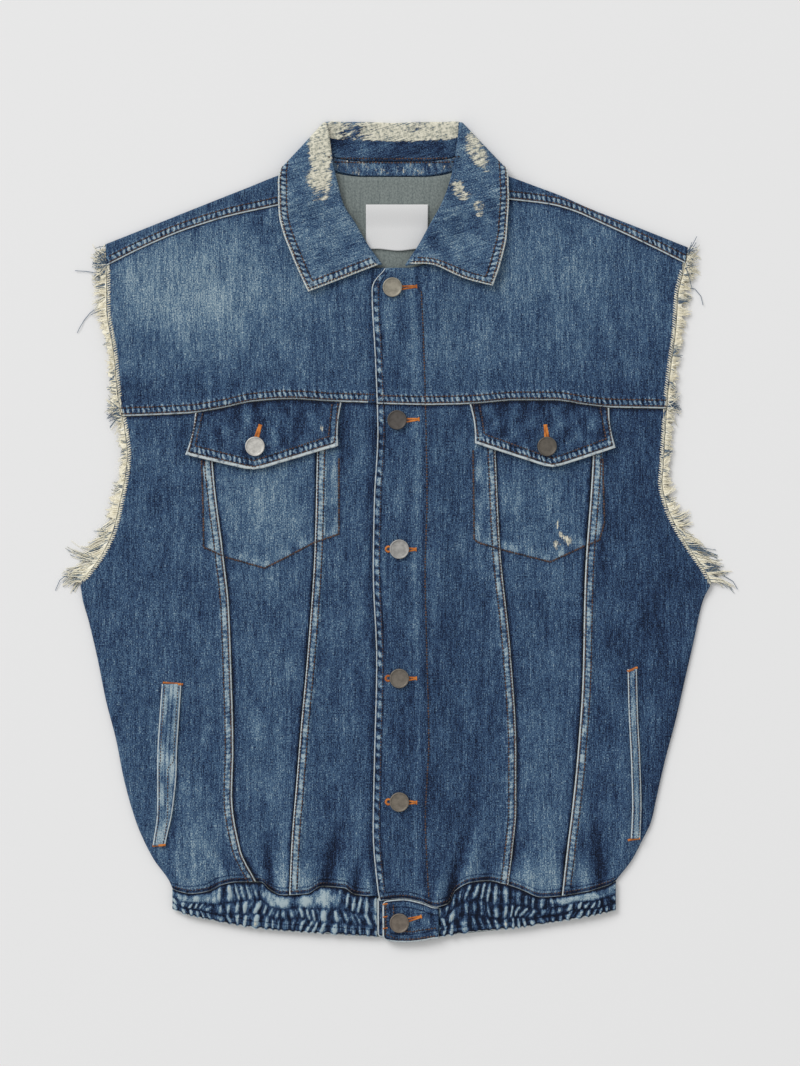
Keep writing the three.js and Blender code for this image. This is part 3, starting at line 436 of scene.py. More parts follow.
def fillAttributes(mesh, shape, made):
    for name, parts in attributeParts.items():
        columns = [made.get(part, attributeDefaults.get(part, 0)) for part in parts]
        values = np.stack([np.broadcast_to(np.asarray(c, float), shape) for c in columns], axis=1)
        writeVectors(mesh, name + "Data", values)
    if mesh.uv_layers:
        vertex = np.empty(len(mesh.loops), int)
        mesh.loops.foreach_get("vertex_index", vertex)
        cut = np.stack([np.broadcast_to(made[key], shape) for key in ("cutX", "cutY")], axis=1) * mm
        mesh.uv_layers[0].data.foreach_set("uv", cut[vertex].ravel())


# The cloth's thickness, more where it is faced.
def addWall(obj, thick, faced=None):
    wall = obj.modifiers.new("wall", "SOLIDIFY")
    wall.thickness = thick * mm
    wall.offset = -1
    wall.material_offset = 1
    wall.use_rim = True
    if faced is not None:
        group = obj.vertex_groups.new(name="faced")
        group.add([int(i) for i in np.nonzero(faced)[0]], 1.0, "REPLACE")
        wall.vertex_group = "faced"
        wall.thickness_vertex_group = cloth["ply"] / thick


def spread(low, high, spacing):
    return np.linspace(low, high, max(2, int(round(abs(high - low) / spacing)) + 1))


# Places from 0 to 1, closer together within a stretch at the start and at the end.
def denser(length, spacing, startDense=0.0, endDense=0.0, fine=0.9):
    stops = [spread(0, startDense, fine)] if startDense else [np.array([0.0])]
    stops.append(spread(startDense, length - endDense, spacing)[1:])
    if endDense:
        stops.append(spread(length - endDense, length, fine)[1:])
    return np.concatenate(stops) / length


def patchBetween(bottom, top, left, right):
    def place(u, v):
        b, t, l, r = bottom(u), top(u), left(v), right(v)
        corners = [bottom(np.zeros(1)), bottom(np.ones(1)), top(np.zeros(1)), top(np.ones(1))]
        return [
            mix(b[k], t[k], v) + mix(l[k], r[k], u)
            - mix(mix(corners[0][k], corners[1][k], u), mix(corners[2][k], corners[3][k], u), v)
            for k in (0, 1)
        ]

    return place


def byY(xOf, low, high, shift=0):
    def place(v):
        y = mix(low, high, v)
        return xOf(y) + shift, y

    return place


def byX(yOf, low, high, shift=0):
    def place(u):
        x = mix(low, high, u)
        return x, yOf(x) + shift

    return place


rowInsets = (1.9, 7.0)  # of the two rows of stitching on each seam

# Puckers between the two rows: small slanting ridges across the seam.
puckerRate = 2 * math.pi / 4.4


def pucker(run, edge):
    return 0.5 + 0.5 * np.sin(run * puckerRate + 0.9 * np.sin(run / 11) + edge * 0.35)


# The height that a folded, twice stitched edge adds: a rounded lip, two rows of dimples and the puckers.
def seamRelief(edge, run, width, lift):
    lip = lift * (1 - ramp(edge, width - 0.2, width + 0.9))
    rounded = -0.35 * (1 - np.clip(edge / 0.9, 0, 1)) ** 2
    rows = -0.28 * (hump(edge, 1.9, 0.8) + np.exp(-(((edge - width + 1.5) / 0.8) ** 2)))
    between = np.exp(-(((edge - width * 0.5) / (width * 0.32)) ** 2))
    return lip + (rounded + rows + 0.34 * between * pucker(run, edge)) * (edge < width + 4)


# The middle of the hem's wave: below it the body's edge dips over the band and is worn paler.
def hemMiddle(x):
    return np.where(x < 0, -309.5, -311)


# What the shader reads near the worn edges of a piece. A seam has its edge (the distance from it), its run
# (the place along it), the width of the doubled cloth, its lift, and how much paler it is or, where it runs
# under another piece, how much painted shade darkens it.
def joinSeams(x, *seams):
    made = {"edge": np.full(x.shape, noSeam), "run": np.zeros(x.shape), "weight": np.zeros(x.shape)}
    made["tone"] = np.zeros(x.shape)
    relief = np.zeros(x.shape)
    for k, seam in enumerate(seams):
        edge, run = np.broadcast_to(seam["edge"], x.shape), np.broadcast_to(seam.get("run", x), x.shape)
        if "under" in seam:
            # painted shade along an edge, as where it runs under another piece; an amount below 0 paints a
            # pale line instead
            made["tone"] -= seam["under"] * np.exp(-((edge / seam.get("reach", 1.7)) ** 2))
            continue
        nearer = edge < made["edge"]
        made["edge"] = np.where(nearer, edge, made["edge"])
        made["run"] = np.where(nearer, run, made["run"])
        if seam.get("width"):
            relief = relief + seamRelief(edge, run, seam["width"], seam.get("lift", 0))
            strip = ramp(edge, 1, 2.4) * (1 - ramp(edge, seam["width"] - 2.2, seam["width"] + 1.2))
            made["weight"] = np.maximum(made["weight"], strip * seam.get("pucker", 1))
            patchy = 0.75 + 0.3 * ripple(run, edge * 3, 17, 81 + k)
            made["tone"] += seam.get("pale", 0) * strip * patchy
        if seam.get("groove"):
            # painted shade in the groove of the hem's stitching
            made["tone"] -= seam["groove"] * hump(edge, 3.2, 0.9)
            dips = 0.5 - 0.5 * np.tanh((hemMiddle(x) - 2 + edge - seam["at"]) / 3)
            made["tone"] += (0.12 + 0.22 * dips) * np.exp(-edge / 9) * (0.75 + 0.4 * ripple(x, 0 * x, 9, 83))
    return made, relief


# The front's edge: on the lapping side its fold and the pale and dark lines beside its stitching, on the
# other side the shade under that fold.
def frontEdge(hand, x, y, fromFold):
    if hand == "Right":
        return [{"edge": placketX(y) - x, "under": 0.2, "reach": 5}]
    fromRow = x - placketRowX(y)
    return [
        {"edge": fromFold + 0.4, "run": y * 0.5, "width": 6.5, "pale": 0.14},
        {"edge": np.abs(fromRow + 9), "under": -0.13, "reach": 2.5},
        {"edge": np.abs(fromRow + 1.5), "under": 0.12, "reach": 2.5},
    ]


# One socket of a material that is being built. Sums and products of these add the nodes that work them out.
class Shade:
    def __init__(self, tree, socket=None):
        self.tree = tree
        self.socket = socket

    def node(self, kind, settings=None, inputs=None, out=0):
        made = self.tree.nodes.new(kind)
        for name, value in (settings or {}).items():
            if name == "stops":
                setStops(made.color_ramp, value)
            else:
                setattr(made, name, value)
        for name, value in (inputs or {}).items():
            if isinstance(value, Shade):
                self.tree.links.new(value.socket, made.inputs[name])
            else:
                made.inputs[name].default_value = value
        return Shade(self.tree, made.outputs[out])

    def calc(self, operation, *values):
        return self.node("ShaderNodeMath", {"operation": operation}, dict(enumerate(values)))

    def __add__(self, other):
        return self.calc("ADD", self, other)

    def __sub__(self, other):
        return self.calc("SUBTRACT", self, other)

    def __rsub__(self, other):
        return self.calc("SUBTRACT", other, self)

    def __mul__(self, other):
        return self.calc("MULTIPLY", self, other)

    __radd__ = __add__
    __rmul__ = __mul__

    def sine(self):
        return self.calc("SINE", self)

    def bell(self, centre, width):
        off = (self - centre) * (1 / width)
        return self.calc("EXPONENT", off * off * -1)

    def between(self, low, high):
        inputs = {"Value": self, "From Min": low, "From Max": high}
        return self.node("ShaderNodeMapRange", {"interpolation_type": "SMOOTHSTEP"}, inputs)

    def attribute(self, name):
        return self.node("ShaderNodeAttribute", {"attribute_name": name}, out="Vector")

    def objectPlace(self):
        return self.node("ShaderNodeTexCoord", out="Object")

    def split(self):
        return [self.node("ShaderNodeSeparateXYZ", {}, {"Vector": self}, out) for out in ("X", "Y", "Z")]

    def noise(self, scale, detail=2, roughness=0.5):
        stretched = self.node("ShaderNodeVectorMath", {"operation": "MULTIPLY"}, {0: self, 1: scale})
        inputs = {"Vector": stretched, "Scale": 1, "Detail": detail, "Roughness": roughness}
        return self.node("ShaderNodeTexNoise", {}, inputs)

    def colors(self, stops):
        return self.node("ShaderNodeValToRGB", {"stops": stops}, {"Fac": self})

    def over(self, below, color):
        return self.node("ShaderNodeMix", {"data_type": "RGBA"}, {0: self, 6: below, 7: color}, 2)


def setStops(stopsOf, stops):
    while len(stopsOf.elements) < len(stops):
        stopsOf.elements.new(0.5)
    for element, (at, color) in zip(stopsOf.elements, stops):
        element.position = at
        element.color = color


def srgb(red, green, blue):
    parts = [c / 255 for c in (red, green, blue)]
    return tuple(c / 12.92 if c < 0.04045 else ((c + 0.055) / 1.055) ** 2.4 for c in parts) + (1.0,)


def startMaterial(name, constants):
    material = bpy.data.materials.new(name)
    material.use_nodes = True
    tree = material.node_tree
    tree.nodes.clear()
    shader = tree.nodes.new("ShaderNodeBsdfPrincipled")
    output = tree.nodes.new("ShaderNodeOutputMaterial")
    tree.links.new(shader.outputs[0], output.inputs["Surface"])
    for socket, value in constants.items():
        shader.inputs[socket].default_value = value
    return material, shader, Shade(tree)


def feed(top, shader, **values):
    names = {"color": "Base Color", "rough": "Roughness", "metal": "Metallic", "normal": "Normal"}
    for name, value in values.items():
        top.tree.links.new(value.socket, shader.inputs[names[name]])


def bumpFrom(top, height, strength):
    return top.node("ShaderNodeBump", {}, {"Height": height, "Strength": strength, "Distance": mm}, "Normal")


denimLook = {
    "shadow": srgb(10, 18, 34),
    "deep": srgb(30, 48, 79),
    "blue": srgb(58, 85, 116),
    "pale": srgb(97, 125, 146),
    "bleached": srgb(162, 178, 184),
    "wornEdge": srgb(196, 205, 206),
    "bareYarn": srgb(222, 218, 200),
    "bareYarnShade": srgb(170, 170, 154),
    "bareYarnBlue": srgb(92, 108, 122),
    "inside": srgb(130, 138, 135),
    "insideDark": srgb(94, 103, 103),
    "sheen": 0.02,
    # The noises, each with its stretch over the flat cloth and how much paler or darker it makes the denim.
    "noises": namedRows(
        "scale detail roughness share",
        streaks=((0.42, 0.020, 1), 3, 0.6, 0.60),  # thick and thin warp yarns
        fineStreaks=((1.1, 0.12, 1), 2, 0.6, 0.95),
        speckle=((1.6, 0.75, 1), 1, 0.7, 1.75),
        grain=((0.40, 0.22, 1), 2, 0.6, 0.3),
        mottled=((0.075, 0.016, 1), 4, 0.6, 0.42),
    ),
    "rungs": 0.92,  # how much the puckers show
    "rows": 0.32,  # and the painted shade in the dents along the stitching
}


def makeDenim():
    look = denimLook
    constants = {"Sheen Weight": look["sheen"], "Sheen Roughness": 0.6, "Specular IOR Level": 0.15}
    material, shader, top = startMaterial("wornDenim", constants)
    cut = top.attribute("cutData")
    fade, rub, tone = top.attribute("wearData").split()
    edge, run, doubled = top.attribute("seamData").split()
    # fade and tone hold the wear and also painted shade: under other pieces, in grooves and in the hollows of
    # folds
    value = fade + tone
    noises = {}
    for name, n in look["noises"].items():
        noises[name] = cut.noise(n["scale"], n["detail"], n["roughness"])
        value = value + (noises[name] - 0.5) * n["share"]
    uneven = cut.noise((0.16, 0.16, 1), 2, 0.6)
    faint = cut.noise((0.11, 0.11, 5), 2, 0.6)
    rungs = (run * puckerRate + (uneven - 0.5) * 8 + edge * 0.35).sine() * doubled * (faint - 0.12)
    rows = edge.bell(rowInsets[0], 0.65) + edge.bell(rowInsets[1], 0.65)
    # the puckers make pale and dark rungs; the dents along the stitching get painted shade
    value = value + rungs * look["rungs"] - rows * look["rows"]
    stops = [(0, look["shadow"]), (0.25, look["deep"]), (0.5, look["blue"]), (0.75, look["pale"])]
    color = value.colors(stops + [(1, look["bleached"])])
    broken = cut.noise((0.20, 0.20, 1), 4, 0.75)
    line = (1 - (edge + (broken - 0.5) * 1.8).between(0.7, 1.7)) * broken.between(0.26, 0.54)
    color = (line * 0.95).over(color, look["wornEdge"])
    threads = cut.noise((1.15, 0.10, 1), 2, 0.75)
    knots = cut.noise((0.26, 0.34, 1), 3, 0.7)
    ragged = cut.noise((0.36, 0.11, 1), 4, 0.8)
    torn = rub + (ragged - 0.5) * 1.7 + (threads - 0.5) * 0.7
    bare = torn.between(0.42, 0.62)
    yarnStops = [(0.26, look["bareYarnBlue"]), (0.42, look["bareYarnShade"]), (0.58, look["bareYarn"])]
    yarn = (threads + (knots - 0.5) * 1.05).colors(yarnStops)
    color = bare.over(color, yarn)
    woven = noises["speckle"] * 0.25 + noises["streaks"] * 0.10 + noises["fineStreaks"] * 0.12
    bump = bumpFrom(top, woven + bare * threads * 0.9, 0.7)
    feed(top, shader, color=color, rough=0.86 + noises["speckle"] * 0.1, normal=bump)
    return material


def makeInside():
    look = denimLook
    material, shader, top = startMaterial("denimInside", {"Specular IOR Level": 0.2})
    cut = top.attribute("cutData")
    speckle = cut.noise((0.7, 0.5, 1), 2, 0.7)
    streaks = cut.noise((0.4, 0.03, 1), 3, 0.6)
    value = 0.5 + (speckle - 0.5) * 1.6 + (streaks - 0.5) * 0.7
    color = value.colors([(0.15, look["insideDark"]), (0.75, look["inside"])])
    feed(top, shader, color=color, rough=0.9 + speckle * 0.05, normal=bumpFrom(top, speckle * 0.2, 0.7))
    return material


def makeThread(name, dark, bright):
    material, shader, top = startMaterial(name, {"Specular IOR Level": 0.3})
    place = top.objectPlace()
    varied = place.noise((180, 180, 180), 2)
    color = varied.colors([(0.36, dark), (0.62, bright)])
    twist = place.noise((2400, 2400, 2400), 1)
    feed(top, shader, color=color, rough=0.6 + varied * 0.2, normal=bumpFrom(top, twist * 0.15, 0.6))
    return material


def makeYarn():
    material, shader, top = startMaterial("looseYarn", {"Specular IOR Level": 0.15})
    tint = top.attribute("wearData").split()[0]
    stops = [
        (0, srgb(66, 88, 114)),
        (0.22, srgb(118, 136, 150)),
        (0.32, srgb(210, 205, 184)),
        (0.62, srgb(243, 236, 212)),
        (1, srgb(250, 246, 230)),
    ]
    place = top.objectPlace()
    twist = place.noise((160, 1500, 500), 3, 0.75)
    color = (tint + (twist - 0.5) * 0.95).colors(stops)
    feed(top, shader, color=color, rough=0.85 + twist * 0.1, normal=bumpFrom(top, twist * 0.7, 0.8))
    return material


def makePewter(name, face):
    material, shader, top = startMaterial(name, {"Specular IOR Level": 0.4})
    place = top.objectPlace()
    cloudy = place.noise((260, 260, 260), 3, 0.6)
    grain = place.noise((2600, 2600, 2600), 2, 0.6)
    toned = cloudy.colors([(0.35, tuple(c * 0.72 for c in face[:3]) + (1,)), (0.6, face)])
    feed(top, shader, color=toned, rough=0.42 + cloudy * 0.2, metal=0.5 + cloudy * 0.15,
         normal=bumpFrom(top, grain * 0.05 + cloudy * 0.05, 0.5))
    return material


def makeTape():
    material, shader, top = startMaterial("labelTape", {"Specular IOR Level": 0.25, "Sheen Weight": 0.1})
    cut = top.attribute("cutData")
    weave = cut.noise((1.6, 2.4, 1), 2, 0.6)
    color = weave.colors([(0.3, srgb(206, 206, 206)), (0.7, srgb(224, 224, 224))])
    feed(top, shader, color=color, rough=0.7 + weave * 0.1, normal=bumpFrom(top, weave * 0.1, 0.5))
    return material


materials = {
    "denim": makeDenim(),
    "inside": makeInside(),
    "rust": makeThread("rustThread", srgb(40, 35, 42), srgb(92, 71, 63)),
    "orange": makeThread("orangeThread", srgb(172, 98, 44), srgb(218, 138, 64)),
    "yarn": makeYarn(),
    "tape": makeTape(),
}
print("materials made")


# Finishes a piece: its materials, its wall, what it rides on and the CAD nodes that it stands for.
def finishCloth(obj, nodes, slot, thick=cloth["ply"], faced=None, colors=("denim", "inside")):
    for color in colors:
        obj.data.materials.append(materials[color])
    addWall(obj, thick, faced)
    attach(obj, "root")
    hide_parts(*nodes)
    return obj


fronts = namedRows(
    "sign armAtYoke middle neckX shoulderTip neckEnd sideEnd",
    Right=(-1, -240, "underlapEdge", -67, [-252, 231.7], [20, 230.2], [-195, -309]),
    Left=(1, 234, "placketEdge", 61, [250, 233.7], [-22, 229.7], [190, -302]),
)
nodeSide = {"Right": "right", "Left": "left"}
armhole = {"Right": xOn("armholeRight"), "Left": xOn("armholeLeft")}
made = {}  # the finished pieces by name


facingX = 24  # how far the fronts' facing reaches past the middle


def facedAt(obj, hand):
    x = np.array([v.co.x for v in obj.data.vertices]) / mm
    return x > -facingX if hand == "Right" else x < facingX


def meetSeam(xOf, yOf, startY):
    y = startY
    for _ in range(30):
        y = float(yOf(xOf(y)))
    return float(xOf(y)), y


def buildYoke(hand):
    f = fronts[hand]
    seam, middle = seamY[hand], xOn(f["middle"])
    shoulder, neck = yOn("shoulderSeam" + hand), yOn("neck" + hand)

    def topY(x):
        beyond = (np.abs(x) >= abs(f["neckX"])) & (x * f["sign"] > 0)
        return np.where(beyond, shoulder(x), neck(x)) - cloth["gap"] - 0.05

    footX = float(armhole[hand](seam(f["armAtYoke"])))
    foot = [footX, float(seam(f["armAtYoke"]))]
    centreFoot = [float(middle(112)), float(seam(middle(112)))]
    armSide = byY(armhole[hand], foot[1], f["shoulderTip"][1])
    middleSide = byY(middle, centreFoot[1], f["neckEnd"][1])
    # The two ends as foot, top and side, from low x to high.
    ends = [(foot, f["shoulderTip"], armSide), (centreFoot, f["neckEnd"], middleSide)][:: -f["sign"]]
    edges = {
        "bottom": byX(seam, ends[0][0][0], ends[1][0][0]),
        "top": byX(topY, ends[0][1][0], ends[1][1][0]),
        "left": ends[0][2],
        "right": ends[1][2],
    }
    place = patchBetween(**edges)

    def shape(u, v):
        x, y = place(u, v)
        fromPlacket = x - edges["left"](v)[0]
        if hand == "Left":  # the lapping front's top corner is rounded off
            x = x + 12 * ramp(y, 207, 232) ** 2 * (1 - ramp(u, 0, 0.09))
        above = y - edges["bottom"](u)[1]
        fromArm = (x - armhole[hand](y)) * -f["sign"]
        lapped = (hand == "Right") & (x > -facingX)
        fromTop = edges["top"](u)[1] - y
        fromNeck = np.abs(x - f["neckX"]) * np.sign(x - f["neckX"]) * -f["sign"]
        seams = [
            {"edge": np.where(lapped, noSeam, above), "width": cloth["yokeFell"], "lift": cloth["fellLift"],
             "pale": 0.13},
            # painted shade along the top, under the collar
            {"edge": np.where(fromNeck < 0, fromTop, noSeam), "under": 0.3},
        ]
        data, relief = joinSeams(x, *seams, *frontEdge(hand, x, y, fromPlacket))
        fray = 0.62 * (1 - ramp(fromArm, 0.5, 5))
        fade = fadeAt(x, y) + 0.05 - 0.05 * hump(above, 14, 12)
        return {"x": x, "y": y, "z": faceOf[hand](x, y) + relief, "cutSeed": 3 * f["sign"],
                "fade": fade, "rub": fray, **data}

    across = denser(272, cloth["fine"], 2 if hand == "Left" else 0)
    along = denser(122, cloth["fine"], 12, 0)
    name = "yoke" + hand
    obj = clothGrid(name, across, along, shape)
    facing = {"thick": cloth["doublePly"], "faced": facedAt(obj, hand)}
    made[name] = finishCloth(obj, [f"front_yoke_{nodeSide[hand]}"], "denim_faded", **facing)


# Spots rubbed through to the bare yarn.
panelRubs = rowsOf(
    "x y wide tall rub",
    (139.5, 7, 2.2, 4, 0.62), (142, 0, 2.2, 4, 0.6), (138.5, -10, 4.4, 4.4, 0.56), (149, -7, 3.6, 4.8, 0.6),
    (145, -4, 2.4, 3, 0.52), (-80, 90, 4, 4, 0.3),
)
collarRubs = rowsOf(
    "x y wide tall rub",
    (-66, 335, 10.5, 27, 1.0), (-67, 307, 12, 12, 0.80), (-65, 293, 11, 8, 0.50), (66, 336, 8, 13, 0.66),
    (72, 325, 8, 11, 0.64), (75, 318, 6, 7, 0.42), (52, 299, 7, 8, 0.60), (58, 292, 8, 5, 0.54),
    (71, 283, 6, 6, 0.54), (72, 276, 4, 4, 0.45),
)


def rubAt(x, y, table):
    total = np.zeros_like(x)
    for spot in table:
        off = ((x - spot["x"]) / spot["wide"]) ** 2 + ((y - spot["y"]) / spot["tall"]) ** 2
        total = np.maximum(total, spot["rub"] * np.exp(-off * off * 0.7))
    return total


panelKinds = namedRows(
    "outer inner fell width",
    side=(None, "outerSeam", "inner", 120), middle=("outerSeam", "innerSeam", None, 78),
    centre=("innerSeam", "middle", "outer", 100),
)


def buildPanel(kind, hand):
    p, f = panelKinds[kind], fronts[hand]
    ease = cloth["gap"] + cloth["chordEase"]
    seam, hem, sign = seamY[hand], hemY[hand], f["sign"]
    side = sideX[hand]

    def seamUnder(x):
        return seam(x) - ease

    def sideEdge(y):
        return np.where(y > cloth["underarmY"], armhole[hand](y), side(y))

    outer = xOn(p["outer"] + hand) if p["outer"] else sideEdge
    inner = xOn(f["middle"] if p["inner"] == "middle" else p["inner"] + hand)
    if p["outer"]:
        a, c, inset = meetSeam(outer, seamUnder, 110), meetSeam(outer, hem, -310), -sign * ease
    else:
        footX = float(armhole[hand](seam(f["armAtYoke"])))
        a, c, inset = (footX, float(seam(f["armAtYoke"])) - ease), f["sideEnd"], 0
    b, d = meetSeam(inner, seamUnder, 110), meetSeam(inner, hem, -312)
    outside = byY(outer, c[1], a[1], inset)
    inside = byY(inner, d[1], b[1])
    if hand == "Right":
        edges = {"bottom": byX(hem, c[0] + inset, d[0]), "top": byX(seamUnder, a[0] + inset, b[0]),
                 "left": outside, "right": inside}
    else:
        edges = {"bottom": byX(hem, d[0], c[0] + inset), "top": byX(seamUnder, b[0], a[0] + inset),
                 "left": inside, "right": outside}
    place = patchBetween(**edges)
    fellOnLeft = (p["fell"] == "outer") == (hand == "Right")

    def shape(u, v):
        x, y = place(u, v)
        left, right = edges["left"](v)[0], edges["right"](v)[0]
        seams = []
        if p["fell"]:
            fromFell = (x - left) if fellOnLeft else (right - x)
            seams.append({"edge": fromFell, "run": y, "width": cloth["fellWidth"], "lift": cloth["fellLift"],
                          "pale": 0.40, "pucker": 0.45})
        else:
            # painted shade along both edges, which run under the neighbours' fells
            seams += [{"edge": x - left, "under": 0.42}, {"edge": right - x, "under": 0.42}]
        if kind == "centre":
            seams += frontEdge(hand, x, y, x - left)
        lapped = (hand == "Right") & (x > -facingX)
        fromHem = np.where(lapped, noSeam, y - edges["bottom"](u)[1] + 0.9)
        seams.append({"edge": fromHem, "groove": 0.6, "at": y})
        # painted shade along the top, under the yoke's fell
        seams.append({"edge": edges["top"](u)[1] - y, "under": 0.42})
        data, relief = joinSeams(x, *seams)
        fray = 0
        if kind == "side":
            fromArm = np.where(y > cloth["underarmY"] - 4, (x - armhole[hand](y)) * -sign, 30)
            fray = 0.62 * (1 - ramp(fromArm, 0.5, 5))
        rub = fray + rubAt(x, y, panelRubs)
        return {"x": x, "y": y, "z": faceOf[hand](x, y) + relief, "cutSeed": 7 * sign + p["width"],
                "fade": fadeAt(x, y), "rub": rub, **data}

    dense = [0, 0]
    if p["fell"]:
        dense[0 if fellOnLeft else 1] = 11
    if kind == "side":
        dense[0 if hand == "Right" else 1] = 6
    across = denser(p["width"], cloth["fine"], *dense, fine=0.8)
    along = denser(422, cloth["fine"], 4, 0)
    name = kind + "Panel" + hand
    obj = clothGrid(name, across, along, shape)
    facing = {"thick": cloth["doublePly"], "faced": facedAt(obj, hand)} if kind == "centre" else {}
    made[name] = finishCloth(obj, [f"{kind}_panel_{nodeSide[hand]}"], "denim", **facing)


for hand in fronts:
    buildYoke(hand)
    for kind in panelKinds:
        buildPanel(kind, hand)
print("front panels made")


# Shallow hollows in the back, which lies on the table: it creases less than the front.
backFolds = rowsOf(
    "hemX topX topY height width",
    (-150, -138, -120, 0.9, 12), (-96, -112, -214, 0.7, 9), (-44, -30, -60, 0.9, 15), (12, 8, -226, 0.6, 8),
    (58, 70, -150, 0.9, 13), (104, 96, -236, 0.7, 9), (160, 142, -96, 0.8, 14),
)
backLook = {
    "fade": 0.40,
    "foldBulge": 2.3,
    "shoulderEnds": {"Right": (-253, -65, -252, -67), "Left": (60, 252, 61, 250)},
    "foldOut": {"Right": (-0.368, 0.93), "Left": (0.354, 0.935)},
    "foldShare": 0.25,  # of the rows of a shoulder's strip, those that go round the fold
}


# The back, one piece that turns over both shoulders to the seams at the front.
def buildBack():
    foldRight, foldLeft, neck = yOn("shoulderFoldRight"), yOn("shoulderFoldLeft"), yOn("neckBack")

    def topY(x):
        return np.where(x < -65, foldRight(x), np.where(x > 60, foldLeft(x), neck(x)))

    def edge(hand):
        return lambda y: np.where(y > cloth["underarmY"], armhole[hand](y), sideX[hand](y))

    place = patchBetween(
        bottom=byX(yOn("hemSeamBack"), -197, 190),
        top=byX(topY, -253, 252),
        left=byY(edge("Right"), -302, 248.5),
        right=byY(edge("Left"), -302, 246),
    )
    stops = {
        "Right": spread(-253, -65, cloth["coarse"]),
        "neck": spread(-65, 60, 3)[1:-1],
        "Left": spread(60, 252, cloth["coarse"]),
    }
    topStops = np.concatenate([stops["Right"], stops["neck"], stops["Left"]])
    across = (topStops + 253) / 505
    nearSide = np.array([0.002, 0.004, 0.007, 0.011])
    across = np.unique(np.concatenate([across, nearSide, 1 - nearSide]))
    cornerV = (cloth["underarmY"] + 302) / 550  # the underarm
    parts = [spread(0, cornerV, 0.011), spread(cornerV, 0.86, 0.011), spread(0.86, 1, 0.006)]
    along = np.unique(np.concatenate(parts))

    def main(u, v):
        x, y = place(u, v)
        inset, _ = sidePlace(x, y)
        hollow = foldsAt(x, y, inset, backFolds)[0]
        calm = ramp(inset, 4, 20) * ramp(topY(x) - y, 4, 30)
        uneven = np.clip(hollow + 0.25 * ripple(x, y, 70, 95) * calm, 0, 0.9) * (y < 290)
        toned = backLook["fade"] + 0.05 * ripple(x, y, 60, 91) - 0.14 * hollow + 0.10 * ramp(y, 40, 200)
        return {"x": x, "y": y, "z": underside(x, y) + uneven, "cutSeed": 50, "fade": toned}

    def wrap(hand):
        f0, f1, s0, s1 = backLook["shoulderEnds"][hand]
        out = backLook["foldOut"][hand]
        onFold = backLook["foldShare"]
        seam = yOn("shoulderSeam" + hand)

        def shape(u, v):
            foldX = mix(-253, 252, u)
            foldY = topY(foldX)
            turned = np.clip(v / onFold, 0, 1) * math.pi - math.pi / 2
            bulged = backLook["foldBulge"] * np.cos(turned)
            z0, z1 = underside(foldX, foldY), front(foldX, foldY)
            seamX = mix(s0, s1, (foldX - f0) / (f1 - f0))
            share = np.clip((v - onFold) / (1 - onFold), 0, 1)
            x = mix(foldX, seamX, share) + out[0] * bulged
            y = mix(foldY, seam(seamX), share) + out[1] * bulged
            z = np.where(v < onFold, mix(z0, z1, (1 + np.sin(turned)) / 2), front(x, y))
            length = np.hypot(seamX - foldX, seam(seamX) - foldY)
            fromSeam = np.where(v > onFold, (1 - share) * length, noSeam)
            data, relief = joinSeams(x, {"edge": fromSeam, "run": foldX, "width": cloth["fellWidth"],
                                         "lift": cloth["fellLift"], "pale": 0.22})
            return {"x": x, "y": y, "z": z + relief, "cutY": y + 2 * share * length, "cutSeed": 60,
                    "fade": fadeAt(x, y) - 0.04, **data}

        return shape

    body = clothGrid("back", across, along, main)
    strips = []
    for hand in ("Right", "Left"):
        ends = backLook["shoulderEnds"][hand]
        inside = (mix(-253, 252, across) >= ends[0] - 0.01) & (mix(-253, 252, across) <= ends[1] + 0.01)
        onFold = backLook["foldShare"]
        rows = np.concatenate([spread(0, onFold, 0.03), spread(onFold, 1, 0.025)[1:]])
        strips.append(clothGrid("shoulder" + hand, across[inside], rows, wrap(hand)))
    bm = bmesh.new()
    for piece in [body, *strips]:
        bm.from_mesh(piece.data)
    bmesh.ops.remove_doubles(bm, verts=bm.verts, dist=0.02 * mm)
    bmesh.ops.reverse_faces(bm, faces=bm.faces)
    bm.to_mesh(body.data)
    bm.free()
    for strip in strips:
        bpy.data.objects.remove(strip)
    made["back"] = finishCloth(body, ["back_panel"], "denim")


buildBack()

# Chest pocket flaps, pointed, sewn into the yoke seam.
flapCut = {
    "Right": {
        "top": [-175, -48], "side": [-183.5, -51], "low": [68, 76], "tip": [-124, 54],
        "fade": 0.34, "lip": 1.2,
        "rubs": rowsOf("x y wide tall rub", (-65, 91, 1.7, 3.6, 0.56), (-81, 90, 1.3, 6, 0.36)),
    },
    "Left": {
        "top": [63, 184], "side": [67.5, 189.5], "low": [78, 74], "tip": [135, 56],
        "fade": 0.31, "lip": 0.8,
        "rubs": rowsOf("x y wide tall rub", (70, 88, 1.0, 9, 0.34)),
    },
}
flapThick = 2.2
footSlant = 0.97  # the foot runs at a slant, so it is a little nearer than straight down


